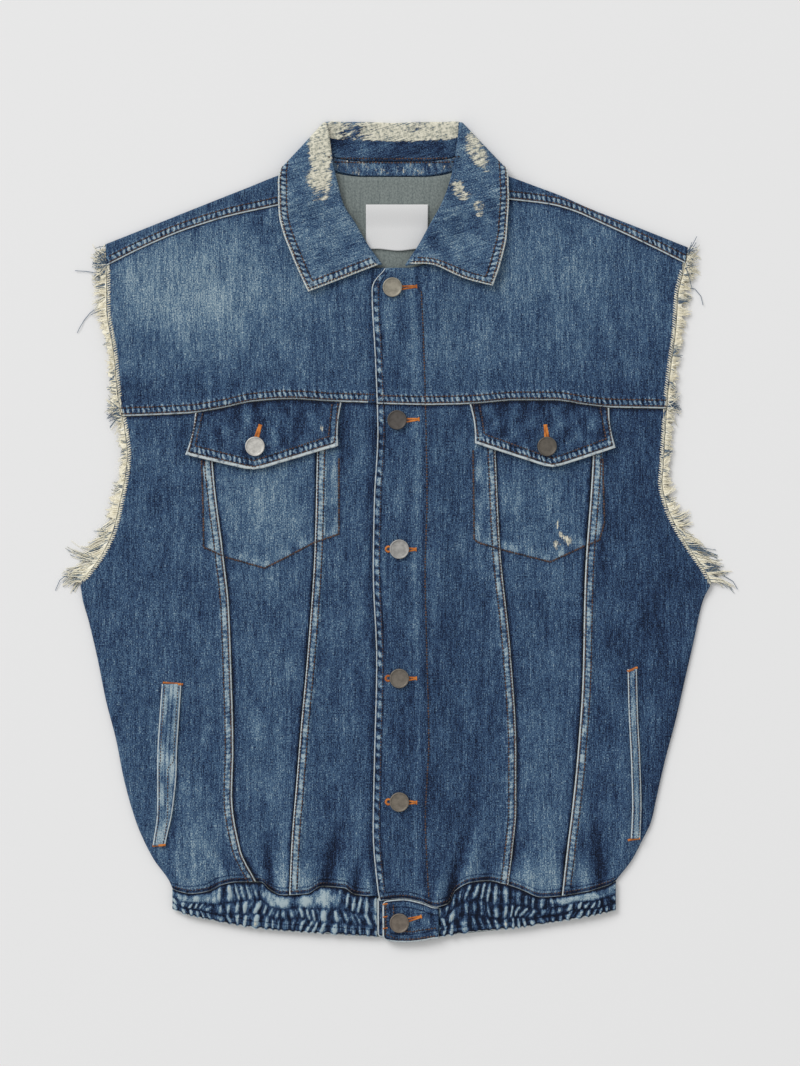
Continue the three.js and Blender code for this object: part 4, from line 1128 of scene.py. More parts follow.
def buildFlap(hand):
    f = flapCut[hand]
    side, tip, low = f["side"], f["tip"], f["low"]
    tipU = (tip[0] - side[0]) / (side[1] - side[0])

    def foot(u):
        x = mix(side[0], side[1], u)
        y = np.where(u < tipU, mix(low[0], tip[1], u / tipU), mix(low[1], tip[1], (1 - u) / (1 - tipU)))
        return x, y + 1.2 * np.exp(-(((u - tipU) / 0.04) ** 2))  # the point is a little blunt

    def tops(u):
        x = mix(f["top"][0], f["top"][1], u)
        return x, seamY[hand](x) - 0.5

    def edge(at):
        return lambda v: [mix(foot(np.array(at))[k], tops(np.array(at))[k], v) for k in (0, 1)]

    place = patchBetween(foot, tops, edge(0.0), edge(1.0))

    def shape(u, v):
        x, y = place(u, v)
        hollow = 1.6 * np.sin(np.pi * v)  # of the sides
        x = x + (hollow * (1 - u) ** 6 - hollow * u ** 6)
        below, above = foot(u), tops(u)
        height = above[1] - below[1]
        width = edge(1.0)(v)[0] - edge(0.0)(v)[0]
        down, leftward, rightward = v * height * footSlant, u * width, (1 - u) * width
        data, relief = joinSeams(
            x,
            {"edge": down - f["lip"], "width": cloth["fellWidth"], "pale": 0.28},
            {"edge": leftward, "run": y + 200, "width": 7, "pale": 0.10, "pucker": 0.3},
            {"edge": rightward, "run": y + 300, "width": 7, "pale": 0.16, "pucker": 0.3},
            # painted shade along the top, under the yoke's lip
            {"edge": (1 - v) * height, "under": 0.4},
        )
        lifted = cloth["fellLift"] + cloth["gap"] + 0.1 + 0.8 * (1 - v) + flapThick
        curl = 1.0 * np.exp(-down / 7) * (0.4 + 0.6 * np.abs(u - tipU) * 2) + 0.25 * ripple(x, y, 34, 31)
        shaded = 0.10 * np.exp(-(((1 - v) * height) / 9) ** 2)  # below the yoke's lip
        fade = f["fade"] + 0.075 * ripple(x, y, 17, 32, stretch=1.6) - shaded
        return {"x": x, "y": y, "z": faceOf[hand](x, y) + lifted + curl + relief, "cutSeed": 80,
                "fade": fade, "rub": rubAt(x, y, f["rubs"]), **data}

    across = spread(0, 1, 1.1 / 128)
    across = np.unique(np.append(across[np.abs(across - tipU) > 0.003], tipU))
    along = denser(48, 1.4, 11, 0, fine=0.8)
    name = "flap" + hand
    obj = clothGrid(name, across, along, shape)
    made[name] = finishCloth(obj, [f"pocket_flap_{nodeSide[hand]}"], "denim", thick=flapThick)


# The pocket welts; a width below 0 is laid out towards the wearer's right.
welts = namedRows(
    "width narrow low high",
    Right=(17, 6, -271, -131), Left=(-8, 0, -265, -118),
)


def buildWelt(hand):
    w = welts[hand]
    edge = xOn("welt" + hand)

    def shape(u, v):
        y = mix(w["low"], w["high"], v)
        narrow = w["narrow"] * ramp(-y, 200, 272)  # towards its foot
        wide = abs(w["width"]) - narrow
        u = u if w["width"] > 0 else 1 - u
        x = edge(y) + u * wide * np.sign(w["width"])
        data, _ = joinSeams(
            x, {"edge": (1 - u) * wide + 0.3, "run": y}, {"edge": u * wide + 0.3, "run": y + 100}
        )
        z = faceOf[hand](x, y) + 0.65 + cloth["ply"] + 0.25 * np.sin(np.pi * u) + 0.12 * ripple(x, y, 15, 41)
        fade = 0.76 + 0.11 * ripple(x, y, 14, 42, stretch=3)
        return {"x": x, "y": y, "z": z, "cutSeed": 90, "fade": fade, **data}

    across = spread(0, 1, 1.0 / abs(w["width"]))
    along = spread(0, 1, 1.8 / 145)
    name = "welt" + hand
    obj = clothGrid(name, across, along, shape)
    made[name] = finishCloth(obj, [f"pocket_welt_{nodeSide[hand]}"], "denim_faded")


for hand in fronts:
    buildFlap(hand)
    buildWelt(hand)

# The hem band, drawn in by elastic and rows of stitching into channels of gathers.
bandLook = {
    "height": 2.0,
    "pitch": 7.0,
    "plain": [(-205, -150), (-118, -46), (136, 195)],  # where the band isn't gathered under the body's edge
    "Right": {"from": -195, "to": -17.4, "fade": 0.10, "seed": 1, "spacing": 0.95, "rows": 40, "thick": 1.3},
    "Left": {"from": 36.4, "to": 190, "fade": -0.04, "seed": 5, "spacing": 0.95, "rows": 40, "thick": 1.3},
    "Back": {"from": -195, "to": 190, "fade": 0.1, "seed": 9, "spacing": 2.2, "rows": 18, "thick": 1.2},
}


# Gathers of uneven width: a wave across the band that differs from one channel to the next.
def gathers(x, channel, seed):
    swing = 2.4 * np.sin(x / 13 + channel * 2.1 + seed) + 1.5 * np.sin(x / 5.3 + channel * 4 + seed)
    turned = (x + swing) / bandLook["pitch"] * 2 * math.pi + channel * 2.4
    full = 0.80 + 0.24 * np.sin(x / 9.7 + channel * 1.7 + 2 * seed)
    wide = np.power(0.5 + 0.5 * np.sin(turned), 1.6) * full
    narrow = 0.42 * np.power(0.5 + 0.5 * np.sin(turned * 1.63 + 1.1 * channel + seed), 3)
    return np.clip(np.maximum(wide, narrow), 0, 1)


def buildBand(side, node):
    b = bandLook[side]
    upper = byX(yOn("hemSeam" + side), b["from"], b["to"], -cloth["gap"])
    lower = byX(yOn("hemEdge" + side), b["from"], b["to"])
    down = side == "Back"
    seed = b["seed"]

    def shape(u, v):
        x0, y0 = lower(u)
        x1, y1 = upper(u)
        endFade = np.clip(np.minimum(u, 1 - u) * 16, 0, 1)
        plain = np.zeros_like(u)
        for low, high in bandLook["plain"]:
            plain = np.maximum(plain, ramp(x1, low, low + 9) * (1 - ramp(x1, high - 9, high)))
        plain = plain * (not down)
        wavy = 1.6 * np.sin(x0 / 17 + seed) + 0.8 * np.sin(x0 / 7 + seed)
        bounds = [0 * u, 0.30 + 0.03 * wavy, 0.60 + 0.035 * wavy - 0.02 * plain, 1 + 0 * u]
        wave, puff = np.zeros_like(u), np.zeros_like(u)
        for channel in range(3):
            low, high = bounds[channel], bounds[channel + 1]
            t = np.clip((v - low) / (high - low), 0, 1)
            here = (v >= low) & (v <= high)
            body = np.sin(np.pi * t) ** 0.4
            if channel == 0:
                body = np.where(t < 0.5, np.maximum(body, 0.75), body)
            lean = 3.4 * np.sin(channel * 2 + seed + x0 / 31) + 2.6 * np.sin(x0 / 9 + channel * 5)
            lean = (t - 0.5) * lean
            gathered = gathers(x0 + lean, (0, 0.16, 1.3)[channel], seed)
            if channel == 2:
                gathered = mix(gathered, 0.56 + 0.10 * ripple(x0, y0, 16, 55), plain)
            wave = np.where(here, gathered * body, wave)
            puff = np.where(here, body, puff)
        sway = 0.7 * np.sin(x0 / 3.1 + 5 * v) * endFade * np.sin(np.pi * v)
        x = mix(x0, x1, v) + sway
        y = mix(y0, y1, v) + 0.5 * np.sin(x / 4.6 + seed) * np.sin(np.pi * v) * endFade
        y = y + (1.0 - 1.6 * gathers(x0, 0, seed)) * (1 - v) ** 4 * endFade * (not down)
        height = bandLook["height"] * endFade
        face = 5.3 - 0.9 * ramp(np.abs(x), 176, 196)
        z = np.clip(height - height * wave, 0, None) * 0.5 if down else face + height * (wave + 0.25 * puff)
        # paler on the ridges of the gathers, where they wear, and darker in their valleys and between the
        # channels with painted shade
        fade = b["fade"] + 0.72 * ramp(wave, 0.12, 0.75) + 0.34 * wave + 0.12 * ripple(x, y, 6, 51 + seed)
        fade = fade + 0.12 * plain * ramp(v, 0.5, 0.68)  # bleached above the gathers
        bare = 0.5 * ramp(wave, 0.5, 0.95) * (0.7 + 0.3 * ripple(x, y, 12, 57)) * (1 - 0.8 * plain)
        tall = y1 - y0
        # painted shade along the top, under the body's hem
        data, _ = joinSeams(x, {"edge": v * tall + 0.6}, {"edge": (1 - v) * tall, "under": 0.5})
        return {"x": x, "y": y, "z": z, "cutX": x * 1.2, "cutY": y, "cutSeed": 100 + seed,
                "fade": fade, "rub": bare, **data}

    across = spread(b["from"], b["to"], b["spacing"])
    across = (across - across[0]) / (across[-1] - across[0])
    along = spread(0, 1, 1 / b["rows"])
    name = "band" + side
    obj = clothGrid(name, across, along, shape)
    if down:
        obj.data.flip_normals()
    made[name] = finishCloth(obj, [node], "denim" if down else "denim_dark", thick=b["thick"])


buildBand("Right", "hem_band_right")
buildBand("Left", "hem_band_left")
buildBand("Back", "hem_band_back")

tabCut = namedRows(
    "left right z thick",
    Right=([-17, -351], [20, -350], 4.9, 2.2), Left=([-12.5, -353], [36, -351.5], 7.7, 2.4),
)


def buildTab(hand):
    t = tabCut[hand]

    def shape(u, v):
        x = mix(t["left"][0], t["right"][0], u)
        topY = hemY[hand](x) - 0.6
        dip = 2.6 * np.sin(np.pi * np.minimum(1, u * 1.1)) if hand == "Left" else 0
        low = mix(t["left"][1], t["right"][1], u) - dip
        corner = 3.4 * (1 - np.clip(u / 0.09, 0, 1)) ** 2
        low = low + corner
        high = topY - 2.5 * (1 - np.clip(u / 0.07, 0, 1)) ** 2
        y = mix(low, high, v)
        data, _ = joinSeams(
            x,
            {"edge": y - low},
            {"edge": x - t["left"][0], "run": y},
            {"edge": high - y + 0.4, "run": x + 100},
        )
        rows = -0.3 * hump(data["edge"], 3.2, 0.8)
        z = t["z"] + 0.15 * ripple(x, y, 20, 61) + rows + 0.25 * np.sin(np.pi * u)
        return {"x": x, "y": y, "z": z, "cutSeed": 120,
                "fade": 0.38 + 0.06 * ripple(x, y, 15, 62), **data}

    name = "tab" + hand
    obj = clothGrid(name, spread(0, 1, 1 / 48), spread(0, 1, 1 / 36), shape)
    made[name] = finishCloth(obj, [f"hem_tab_{nodeSide[hand]}"], "denim_dark", thick=t["thick"])


buildTab("Right")
buildTab("Left")
print("flaps, welts, band and tabs made")

leafPly = 2
sections = range(14)  # of each half, from the middle of the back to the point
lastSection = sections[-1]
collarCut = {
    "rollRadius": 2.15,
    "overFront": 4,
    "standShare": 0.7,
    "turn": [-1, -1, -1, -1, -0.55, 0, 0.55, 1, 1, 1, 1, 1, 1, 1],
    "Right": {
        "rollX": [-3, -28, -45, -56, -62, -63, -62, -60, -57, -53, -48, -38, -27, -15],
        "rollY": [354, 355, 355, 355.5, 355, 354, 352, 346, 322, 303, 284, 268, 249, 233],
        "edgeX": [-3, -32, -63, -83, -95, -97, -100, -103, -103, -102.5, -99, -93, -85, -77],
        "edgeY": [292, 292, 295, 301, 312, 314, 311, 300, 288, 276, 261, 245, 226, 209],
        "neckX": [-3, -28, -44, -54, -61, -64.3, -65.5, -66, -65.7, -64.2, -60.7, -52, -38, -21],
        "neckY": [309.5, 309.5, 311.5, 314, 319, 320, 318, 308, 294, 282, 270.3, 254.5, 241.2, 232.8],
    },
    "Left": {
        "rollX": [-3, 22, 39, 50, 55, 56, 55, 54, 51, 47, 41, 30, 20, 9],
        "rollY": [354, 355, 355, 355.5, 355, 354, 352, 345, 322, 303, 286, 266, 248, 232],
        "edgeX": [-3, 27, 57, 76, 88.5, 91, 94, 96.5, 97, 96, 95, 92, 88, 83],
        "edgeY": [292, 292, 295, 301, 312, 314, 311, 300, 287, 271, 256, 242, 228, 214],
        "neckX": [-3, 22, 38, 48, 55, 58.3, 59.5, 60, 59.6, 58.3, 54.7, 46, 32.2, 15],
        "neckY": [309.5, 309.5, 311.5, 314, 319, 320, 318, 308, 294, 282, 270.3, 254.5, 241.2, 232.8],
    },
}


# The collar in sections, as the CAD has them: place is from -13 at the wearer's right point to 13 at the
# left, and leg is "outer" (share 1 at the outer edge), "roll" (an angle) or "inner" (share 1 at the neck).
def collarPoint(place, leg, t):
    index, sign = np.abs(place), np.where(place < 0, -1.0, 1.0)

    def read(key):
        read = {hand: curveThrough(sections, collarCut[hand][key])(index) for hand in ("Right", "Left")}
        return np.where(place < 0, read["Right"], read["Left"])

    turnShare = np.interp(index, sections, collarCut["turn"])
    turn = turnShare * math.pi / 2
    turned = (1 + np.sin(turn)) / 2
    roll, edge, neck = (np.stack([read(key + "X"), read(key + "Y")]) for key in ("roll", "edge", "neck"))

    def face(x, y):
        return np.where(place < 0, front(x, y), frontLeft(x, y)) + collarCut["overFront"]

    def unit(d):
        return d / np.hypot(*d)

    def outOf(d):
        out = np.stack([d[1], -d[0]])
        return np.where(out[0] * sign < 0, -out, out)

    toEdge, toNeck = unit(edge - roll), unit(neck - roll)
    radius = collarCut["rollRadius"]
    flat = np.cos(turn)
    if leg == "outer":
        out = outOf(toEdge)
        x, y = mix(roll, edge, t) + out * mix(radius, 4, t) * flat
        return x, y, mix(0, face(x, y), turned)
    if leg == "inner":
        inward = -outOf(toNeck)
        x, y = mix(roll, neck, t) + inward * mix(radius, 0.7, t) * flat
        return x, y, mix(2 * radius, face(x, y) - 2 * radius, turned)
    tip = -unit(toEdge + toNeck)
    out = outOf(-tip)
    rollZ = mix(radius, face(*roll) - radius, turned)
    along, off = np.cos(t) * radius, np.sin(t) * radius
    x = roll[0] + out[0] * flat * along + tip[0] * off
    y = roll[1] + out[1] * flat * along + tip[1] * off
    return x, y, rollZ + np.sin(turn) * along


# How the leaf's free ends differ from plain: a bowed lower edge at the left, and both lift a little.
def leafDrape(place, outer):
    index = np.abs(place)
    bow = np.where(place > 0, 5.5 * hump(outer, 0.3, 0.25), 0) * ramp(index, 12, 13)
    lift = np.where(place > 0, 3.4, 1.0) * ramp(index, 9, 13) * np.clip(outer, 0, 1)
    return bow, lift


leafWidth = {"at": [0, 3, 6, 8, 13], "width": [62, 62, 38, 46, 64]}
leafPitch = {"at": [0, 9, 11, 13], "length": [20, 19, 17, 18]}  # from one section to the next
leafRows = 46  # from the roll to the outer edge
rollRows = 7
innerRows = 26


def buildCollar():
    stops = [(-7, -3, 0.11), (-3, 3, 0.12), (3, 7, 0.11), (7, 13, 0.085)]
    place = np.concatenate([spread(-13, -7, 0.085), *(spread(*stop)[1:] for stop in stops)])
    rows = np.linspace(0, 1, innerRows + rollRows + leafRows + 1)
    share = {"inner": innerRows / (len(rows) - 1), "roll": (innerRows + rollRows) / (len(rows) - 1)}

    def shape(u, v):
        index = np.abs(u)
        turn = np.interp(index, sections, collarCut["turn"])
        onFront = turn > 0
        neckShare = np.where(onFront, 0.995, collarCut["standShare"])
        inner = neckShare * (1 - v / share["inner"])
        angle = math.pi * (1 - (v - share["inner"]) / (share["roll"] - share["inner"]))
        outer = (v - share["roll"]) / (1 - share["roll"])
        legs = [
            collarPoint(u, "inner", np.clip(inner, 0, 1)),
            collarPoint(u, "roll", np.clip(angle, 0, math.pi)),
            collarPoint(u, "outer", np.clip(outer, 0, 1)),
        ]
        onInner, onRoll = v < share["inner"], v < share["roll"]
        x, y, z = (np.where(onInner, a, np.where(onRoll, b, c)) for a, b, c in zip(*legs))
        top = outer > 0
        toEdge = np.where(top, (1 - outer) * np.interp(index, leafWidth["at"], leafWidth["width"]), noSeam)
        toEnd = (lastSection - index) * np.interp(index, leafPitch["at"], leafPitch["length"])
        visible = top & (turn > -0.2)
        data, relief = joinSeams(
            x,
            {"edge": np.where(visible, toEdge, noSeam), "run": y, "width": cloth["fellWidth"], "pale": 0.14},
            {"edge": np.where(visible, toEnd, noSeam), "width": cloth["fellWidth"], "pale": 0.14},
        )
        # The leaf doesn't lie quite flat: its points curl and its lower edges lift.
        bow, lift = leafDrape(u, outer)
        bow = bow * top
        lift = lift + 0.35 * ripple(x, y, 40, 71) * (turn > 0.5) * top
        back = ramp(-turn, 0.2, 0.9)
        fold = ramp(v, 0.15, 0.20) * (1 - ramp(v, 0.44, 0.50))
        # The fold is bare along the back, less so in two places.
        thin = 0.80 - 0.34 * hump(x, -38, 15)
        thin = thin - 0.2 * hump(x, 14, 8) * (y > 348)
        rub = np.maximum(thin * fold * back, rubAt(x, y, collarRubs) * (turn > -0.4) * (v > share["inner"]))
        fade = 0.50 + 0.03 * (x < 0) + 0.055 * ripple(x, y, 26, 72) - 0.22 * back * (v < share["inner"])
        lean = 0.3  # the grain of the leaf runs across it at a slant
        grainX, grainY = y * math.cos(lean) - x * math.sin(lean), x * math.cos(lean) + y * math.sin(lean)
        return {"x": x, "y": y + bow, "z": z + lift + relief * (turn > -0.2), "cutX": grainX, "cutY": grainY,
                "cutSeed": 140, "fade": fade, "rub": rub, **data}

    obj = clothGrid("collarLeaf", place, rows, shape)
    bothSides = {"thick": leafPly, "colors": ("denim", "denim")}
    made["collarLeaf"] = finishCloth(obj, ["collar_leaf"], "denim", **bothSides)

    def standShape(u, v):
        turn = np.interp(np.abs(u), sections, collarCut["turn"])
        t = mix(0.985, collarCut["standShare"] + 0.02, v)
        x, y, z = collarPoint(u, "inner", t)
        return {"x": x, "y": y, "z": z, "cutX": u * 14, "cutY": v * 16, "cutSeed": 150,
                "fade": 0.46 + 0.16 * np.sin(u * 9 + 2 * np.sin(u * 4) + 3 * v) * np.sin(np.pi * v),
                "rub": 0.31 + 0 * turn}

    obj = clothGrid("collarStand", spread(-5, 5, 0.06), spread(0, 1, 1 / 16), standShape)
    made["collarStand"] = finishCloth(obj, ["collar_stand"], "denim", **bothSides)


buildCollar()


# The bare label inside the back neck.
def buildLabel():
    def shape(u, v):
        x = mix(-27, 27, u)
        y = mix(246, 285, v) + 0.8 * np.sin(u * 9) * (1 - v) ** 4
        z = underside(x, y) + cloth["ply"] + cloth["gap"] + 1.5 + 0.12 * np.sin(u * 14) * (1 - v) ** 2
        return {"x": x, "y": y, "z": z, "cutSeed": 160}

    obj = clothGrid("label", spread(0, 1, 1 / 54), spread(0, 1, 1 / 39), shape)
    made["label"] = finishCloth(obj, ["neck_label"], "label_cloth", thick=1, colors=("tape", "tape"))


buildLabel()
print("collar and label made")


# Loose yarn at the armholes, as thin tapering strands joined into one mesh for each edge.
reachAt = curveThrough([-44, -37, -26, -8, 12, 35, 60, 100, 170, 205, 233, 251],
                       [15, 22, 26, 22, 16, 10, 7.5, 8, 8, 14, 16, 11])


def strandMesh(name, strands, radius):
    curve = bpy.data.curves.new(name, "CURVE")
    curve.dimensions = "3D"
    curve.bevel_depth = 1
    curve.bevel_resolution = 0
    curve.use_fill_caps = False
    for points, _ in strands:
        spline = curve.splines.new("POLY")
        spline.points.add(len(points) - 1)
        for k, (point, place) in enumerate(zip(spline.points, points)):
            point.co = (*(c * mm for c in place), 1)
            point.radius = radius * mm * (1 - 0.45 * k / len(points))
    rough = addObject(name, curve)
    mesh = bpy.data.meshes.new_from_object(rough.evaluated_get(bpy.context.evaluated_depsgraph_get()))
    mesh.name = name
    bpy.data.objects.remove(rough)
    tints = np.concatenate([np.full(len(points) * 4, tint) for points, tint in strands])
    values = np.zeros((len(mesh.vertices), 3))
    values[: len(tints), 0] = tints[: len(mesh.vertices)]
    writeVectors(mesh, "wearData", values)
    return addObject(name, mesh)


fringes = namedRows(
    "hand low high pitch share seed",
    frontRight=("Right", -43, 229, 0.46, 1.0, 11), frontLeft=("Left", -43, 231, 0.46, 1.0, 23),
    backRight=("Right", -42, 246, 0.95, 0.85, 37), backLeft=("Left", -42, 244, 0.95, 0.85, 41),
)
# Knots of blue and white yarn where a seam's end has come apart.
tufts = {
    "frontRight": rowsOf("y count reach tall", (106, 44, 13, 7), (235, 54, 13, 16)),
    "frontLeft": rowsOf("y count reach tall", (112, 44, 12, 7), (234, 46, 11, 14)),
}
# Single long threads that have come out.
looseEnds = {
    "frontRight": [
        [(-252, 226), (-262, 226), (-270, 227.4), (-280, 228)],
        [(-250, 199), (-260, 196.5), (-267, 191), (-272, 185), (-276, 178), (-278, 174)],
        [(-270, -30), (-284, -34), (-293, -41), (-297, -50)],
    ],
    "frontLeft": [
        [(268, -34), (282, -36), (292, -42), (296, -49)],
        [(250, 214), (259, 212), (264, 206), (266, 198)],
    ],
}


def buildFringe(key):
    f = fringes[key]
    dice = random.Random(f["seed"])
    sign = fronts[f["hand"]]["sign"]
    onFront = key.startswith("front")
    edge = armhole[f["hand"]]

    # The yarns leave the middle of the cloth and sink towards the table.
    def heightAt(x, y, along):
        z0 = front(x, y) - cloth["ply"] / 2 if onFront else underside(x, y) + cloth["ply"] / 2
        return mix(z0, np.maximum(0.6, z0 * 0.3), ease(along / 22))

    # The loose yarns are the cross yarns of the cloth, so they run sideways and hang a little.
    def strand(y, reach, lean, curl, lift, tint, droop=0.0):
        x = float(edge(y))
        points = []
        for k in range(6):
            share = k / 5
            px = x + sign * (reach * share * (1 - 0.3 * abs(lean)) + 0.5)
            py = y + reach * (lean * share + (curl - droop) * share * share)
            raised = lift * math.sin(math.pi * min(1, share * 1.2))
            points.append((px, py, max(0.5, float(heightAt(x, y, reach * share)) + raised)))
        return points, tint

    strands = []
    y = f["low"]
    clump = {"until": y}
    while y < f["high"]:
        if y >= clump["until"]:  # yarns hang together in small clumps that lean one way
            clump = {
                "from": y, "until": y + dice.uniform(2, 7), "reach": dice.uniform(0.62, 1.15),
                "lean": dice.gauss(-0.05, 0.2), "curl": dice.gauss(-0.05, 0.24),
                "blue": dice.random() < 0.14 + 0.2 * (y < 0),
            }
        slope = float(edge(y + 1) - edge(y - 1)) / 2
        y += f["pitch"] * dice.uniform(0.6, 1.4) / math.hypot(1, slope)
        loose = math.exp(-(((y + 40) / 34) ** 2))
        reach = float(reachAt(y)) * f["share"] * clump["reach"] * dice.uniform(0.55, 1.08)
        blue = dice.random() < (0.7 if clump["blue"] else 0.06 + 0.34 * loose)
        tint = dice.uniform(0.06, 0.34) if blue else dice.uniform(0.48, 1)
        lift = dice.uniform(-0.3, 1.3) if onFront else dice.uniform(-0.2, 0.2)
        middle = (clump["from"] + clump["until"]) / 2
        gather = 0.5 * (middle - y) / max(reach, 6)  # the tips meet at the clump's middle
        strands.append(strand(y, reach, clump["lean"] + gather + dice.gauss(0, 0.07),
                              clump["curl"] + dice.gauss(0, 0.12), lift, tint, 0.28 * loose))
    for path in looseEnds.get(key, ()):
        strands.append(([(px, py, 1.2 + 0.5 * math.sin(px)) for px, py in path], 0.08))
    for tuft in tufts.get(key, ()):
        for _ in range(tuft["count"]):
            strands.append(strand(
                tuft["y"] + dice.gauss(0, tuft["tall"] / 2), tuft["reach"] * dice.uniform(0.5, 1.1),
                dice.gauss(0, 0.5), dice.gauss(0, 0.4), dice.uniform(0.5, 2.4),
                dice.choice([0.04, 0.1, 0.2, 0.3, 0.6, 0.95]),
            ))
    obj = strandMesh("fringe" + key[0].upper() + key[1:], strands, 0.36)

    # Under the loose ends, a ribbon of the cross yarns that are still woven in.
    def ribbon(u, v):
        y = mix(f["low"], f["high"], v)
        ragged = 0.66 + 0.30 * ripple(y, 0 * y, 9, f["seed"]) + 0.16 * ripple(y, 0 * y, 3.2, f["seed"] + 1)
        reach = np.minimum(reachAt(y), 8.5) * f["share"] * np.clip(ragged, 0.16, 1.1) * 0.72
        away = 0.4 + u * reach
        x = edge(y)
        z = heightAt(x, y, away)
        lies = 0.2 * ripple(x + away, y, 9, 8)
        return {"x": x + sign * away, "y": y - 0.06 * away, "z": z + lies * onFront,
                "cutX": y, "cutY": away, "fade": 0.66 + 0.16 * ripple(y, 0 * y, 4, 9)}

    strip = clothGrid(obj.name + "Ribbon", spread(0, 1, 1 / 7), spread(0, 1, 1.2 / 275), ribbon)
    del flatSize[strip.name]
    addWall(strip, 0.5)
    bm = bmesh.new()
    bm.from_mesh(obj.data)
    bm.from_object(strip, bpy.context.evaluated_depsgraph_get())
    bm.to_mesh(obj.data)
    bm.free()
    bpy.data.objects.remove(strip)
    for polygon in obj.data.polygons:
        polygon.material_index = 0
    obj.data.materials.append(materials["yarn"])
    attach(obj, "root")
    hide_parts(f"fringe_{'front' if onFront else 'back'}_{nodeSide[f['hand']]}")
    made[obj.name] = obj
    return len(strands)


print("strands:", [buildFringe(key) for key in fringes])

# Sewing. Every row is a path in plan that is dropped onto the piece it belongs to, and skipped where
# another piece covers it.
pieceOrder = [name for name in made if not name.startswith("fringe")]


def dropTree():
    depsgraph = bpy.context.evaluated_depsgraph_get()
    bm = bmesh.new()
    starts = []
    for name in pieceOrder:
        starts.append(len(bm.faces))
        bm.from_object(made[name], depsgraph)
    tree = BVHTree.FromBMesh(bm)
    bm.free()
    return tree, np.array(starts)


tree, treeStarts = dropTree()


def dropOn(x, y, names):
    place, normal, index, _ = tree.ray_cast(Vector((x * mm, y * mm, 0.05)), Vector((0, 0, -1)))
    if place is None or pieceOrder[int(np.searchsorted(treeStarts, index, side="right")) - 1] not in names:
        return None
    return place, normal if normal.z > 0 else -normal


threads = namedRows(
    "length width height pitch material",
    rust=(2.6, 1.6, 1.0, 2.7, "rust"), rope=(3.0, 2.1, 1.3, 2.6, "rust"), dark=(2.2, 1.0, 0.6, 2.6, "rust"),
    bright=(2.2, 0.8, 1.0, 0.6, "orange"), fleck=(1.8, 0.6, 0.5, 3.1, "yarn"),
    ravel=(4.4, 0.85, 0.7, 2.0, "yarn"),
)
sewing = {kind: [] for kind in threads}  # the matrix of each stitch


def sewStitch(kind, x, y, along, names, length=None):
    hit = dropOn(x, y, names)
    if hit is None:
        return
    place, normal = hit
    across = normal.cross(Vector((*along, 0))).normalized()
    forward = across.cross(normal)
    thread = threads[kind]
    size = ((length or thread["length"]) / 2 * mm, thread["width"] / 2 * mm, thread["height"] / 2 * mm)
    turned = Matrix((forward, across, normal)).transposed().to_4x4()
    matrix = Matrix.Translation(place + normal * 0.12 * mm) @ turned @ Matrix.Diagonal((*size, 1))
    sewing[kind].append(matrix)


def sewRow(kind, points, names, seed=0, turn=0.0, scatter=0.0):
    dice = random.Random(seed)
    points = np.array(points, float)
    steps = np.hypot(*np.diff(points, axis=0).T)
    run = np.concatenate([[0], np.cumsum(steps)])
    pitch = threads[kind]["pitch"]
    at = pitch / 2
    while at < run[-1]:
        x, y = np.interp(at, run, points[:, 0]), np.interp(at, run, points[:, 1])
        k = min(len(steps) - 1, int(np.searchsorted(run, at, side="right")) - 1)
        along = (points[k + 1] - points[k]) / max(steps[k], 1e-6)
        if turn:
            angle = turn + dice.gauss(0, scatter)
            along = (along[0] * math.cos(angle) - along[1] * math.sin(angle),
                     along[0] * math.sin(angle) + along[1] * math.cos(angle))
        sewStitch(kind, x + dice.gauss(0, 0.08), y + dice.gauss(0, 0.08), along, names)
        at += pitch * dice.uniform(0.94, 1.06)


def pathX(yOf, low, high, shift=0.0):
    x = np.linspace(low, high, int(abs(high - low) / 2) + 2)
    return np.stack([x, yOf(x) + shift], axis=1)


def pathY(xOf, low, high, shift=0.0):
    y = spread(low, high, 2)
    return np.stack([xOf(y) + shift, y], axis=1)


def leafPath(hand, inset):
    sign = fronts[hand]["sign"]
    lastPlace = lastSection - inset / leafPitch["length"][-1]
    place = np.concatenate([spread(5.2, lastPlace, 0.1), np.full(30, lastPlace)])
    width = np.interp(place, leafWidth["at"], leafWidth["width"])
    share = np.concatenate([1 - inset / width[:-30], np.linspace(1 - inset / width[-1], 0.04, 30)])
    x, y, _ = collarPoint(place * sign, "outer", share)
    return np.stack([x, y + leafDrape(place * sign, share)[0]], axis=1)


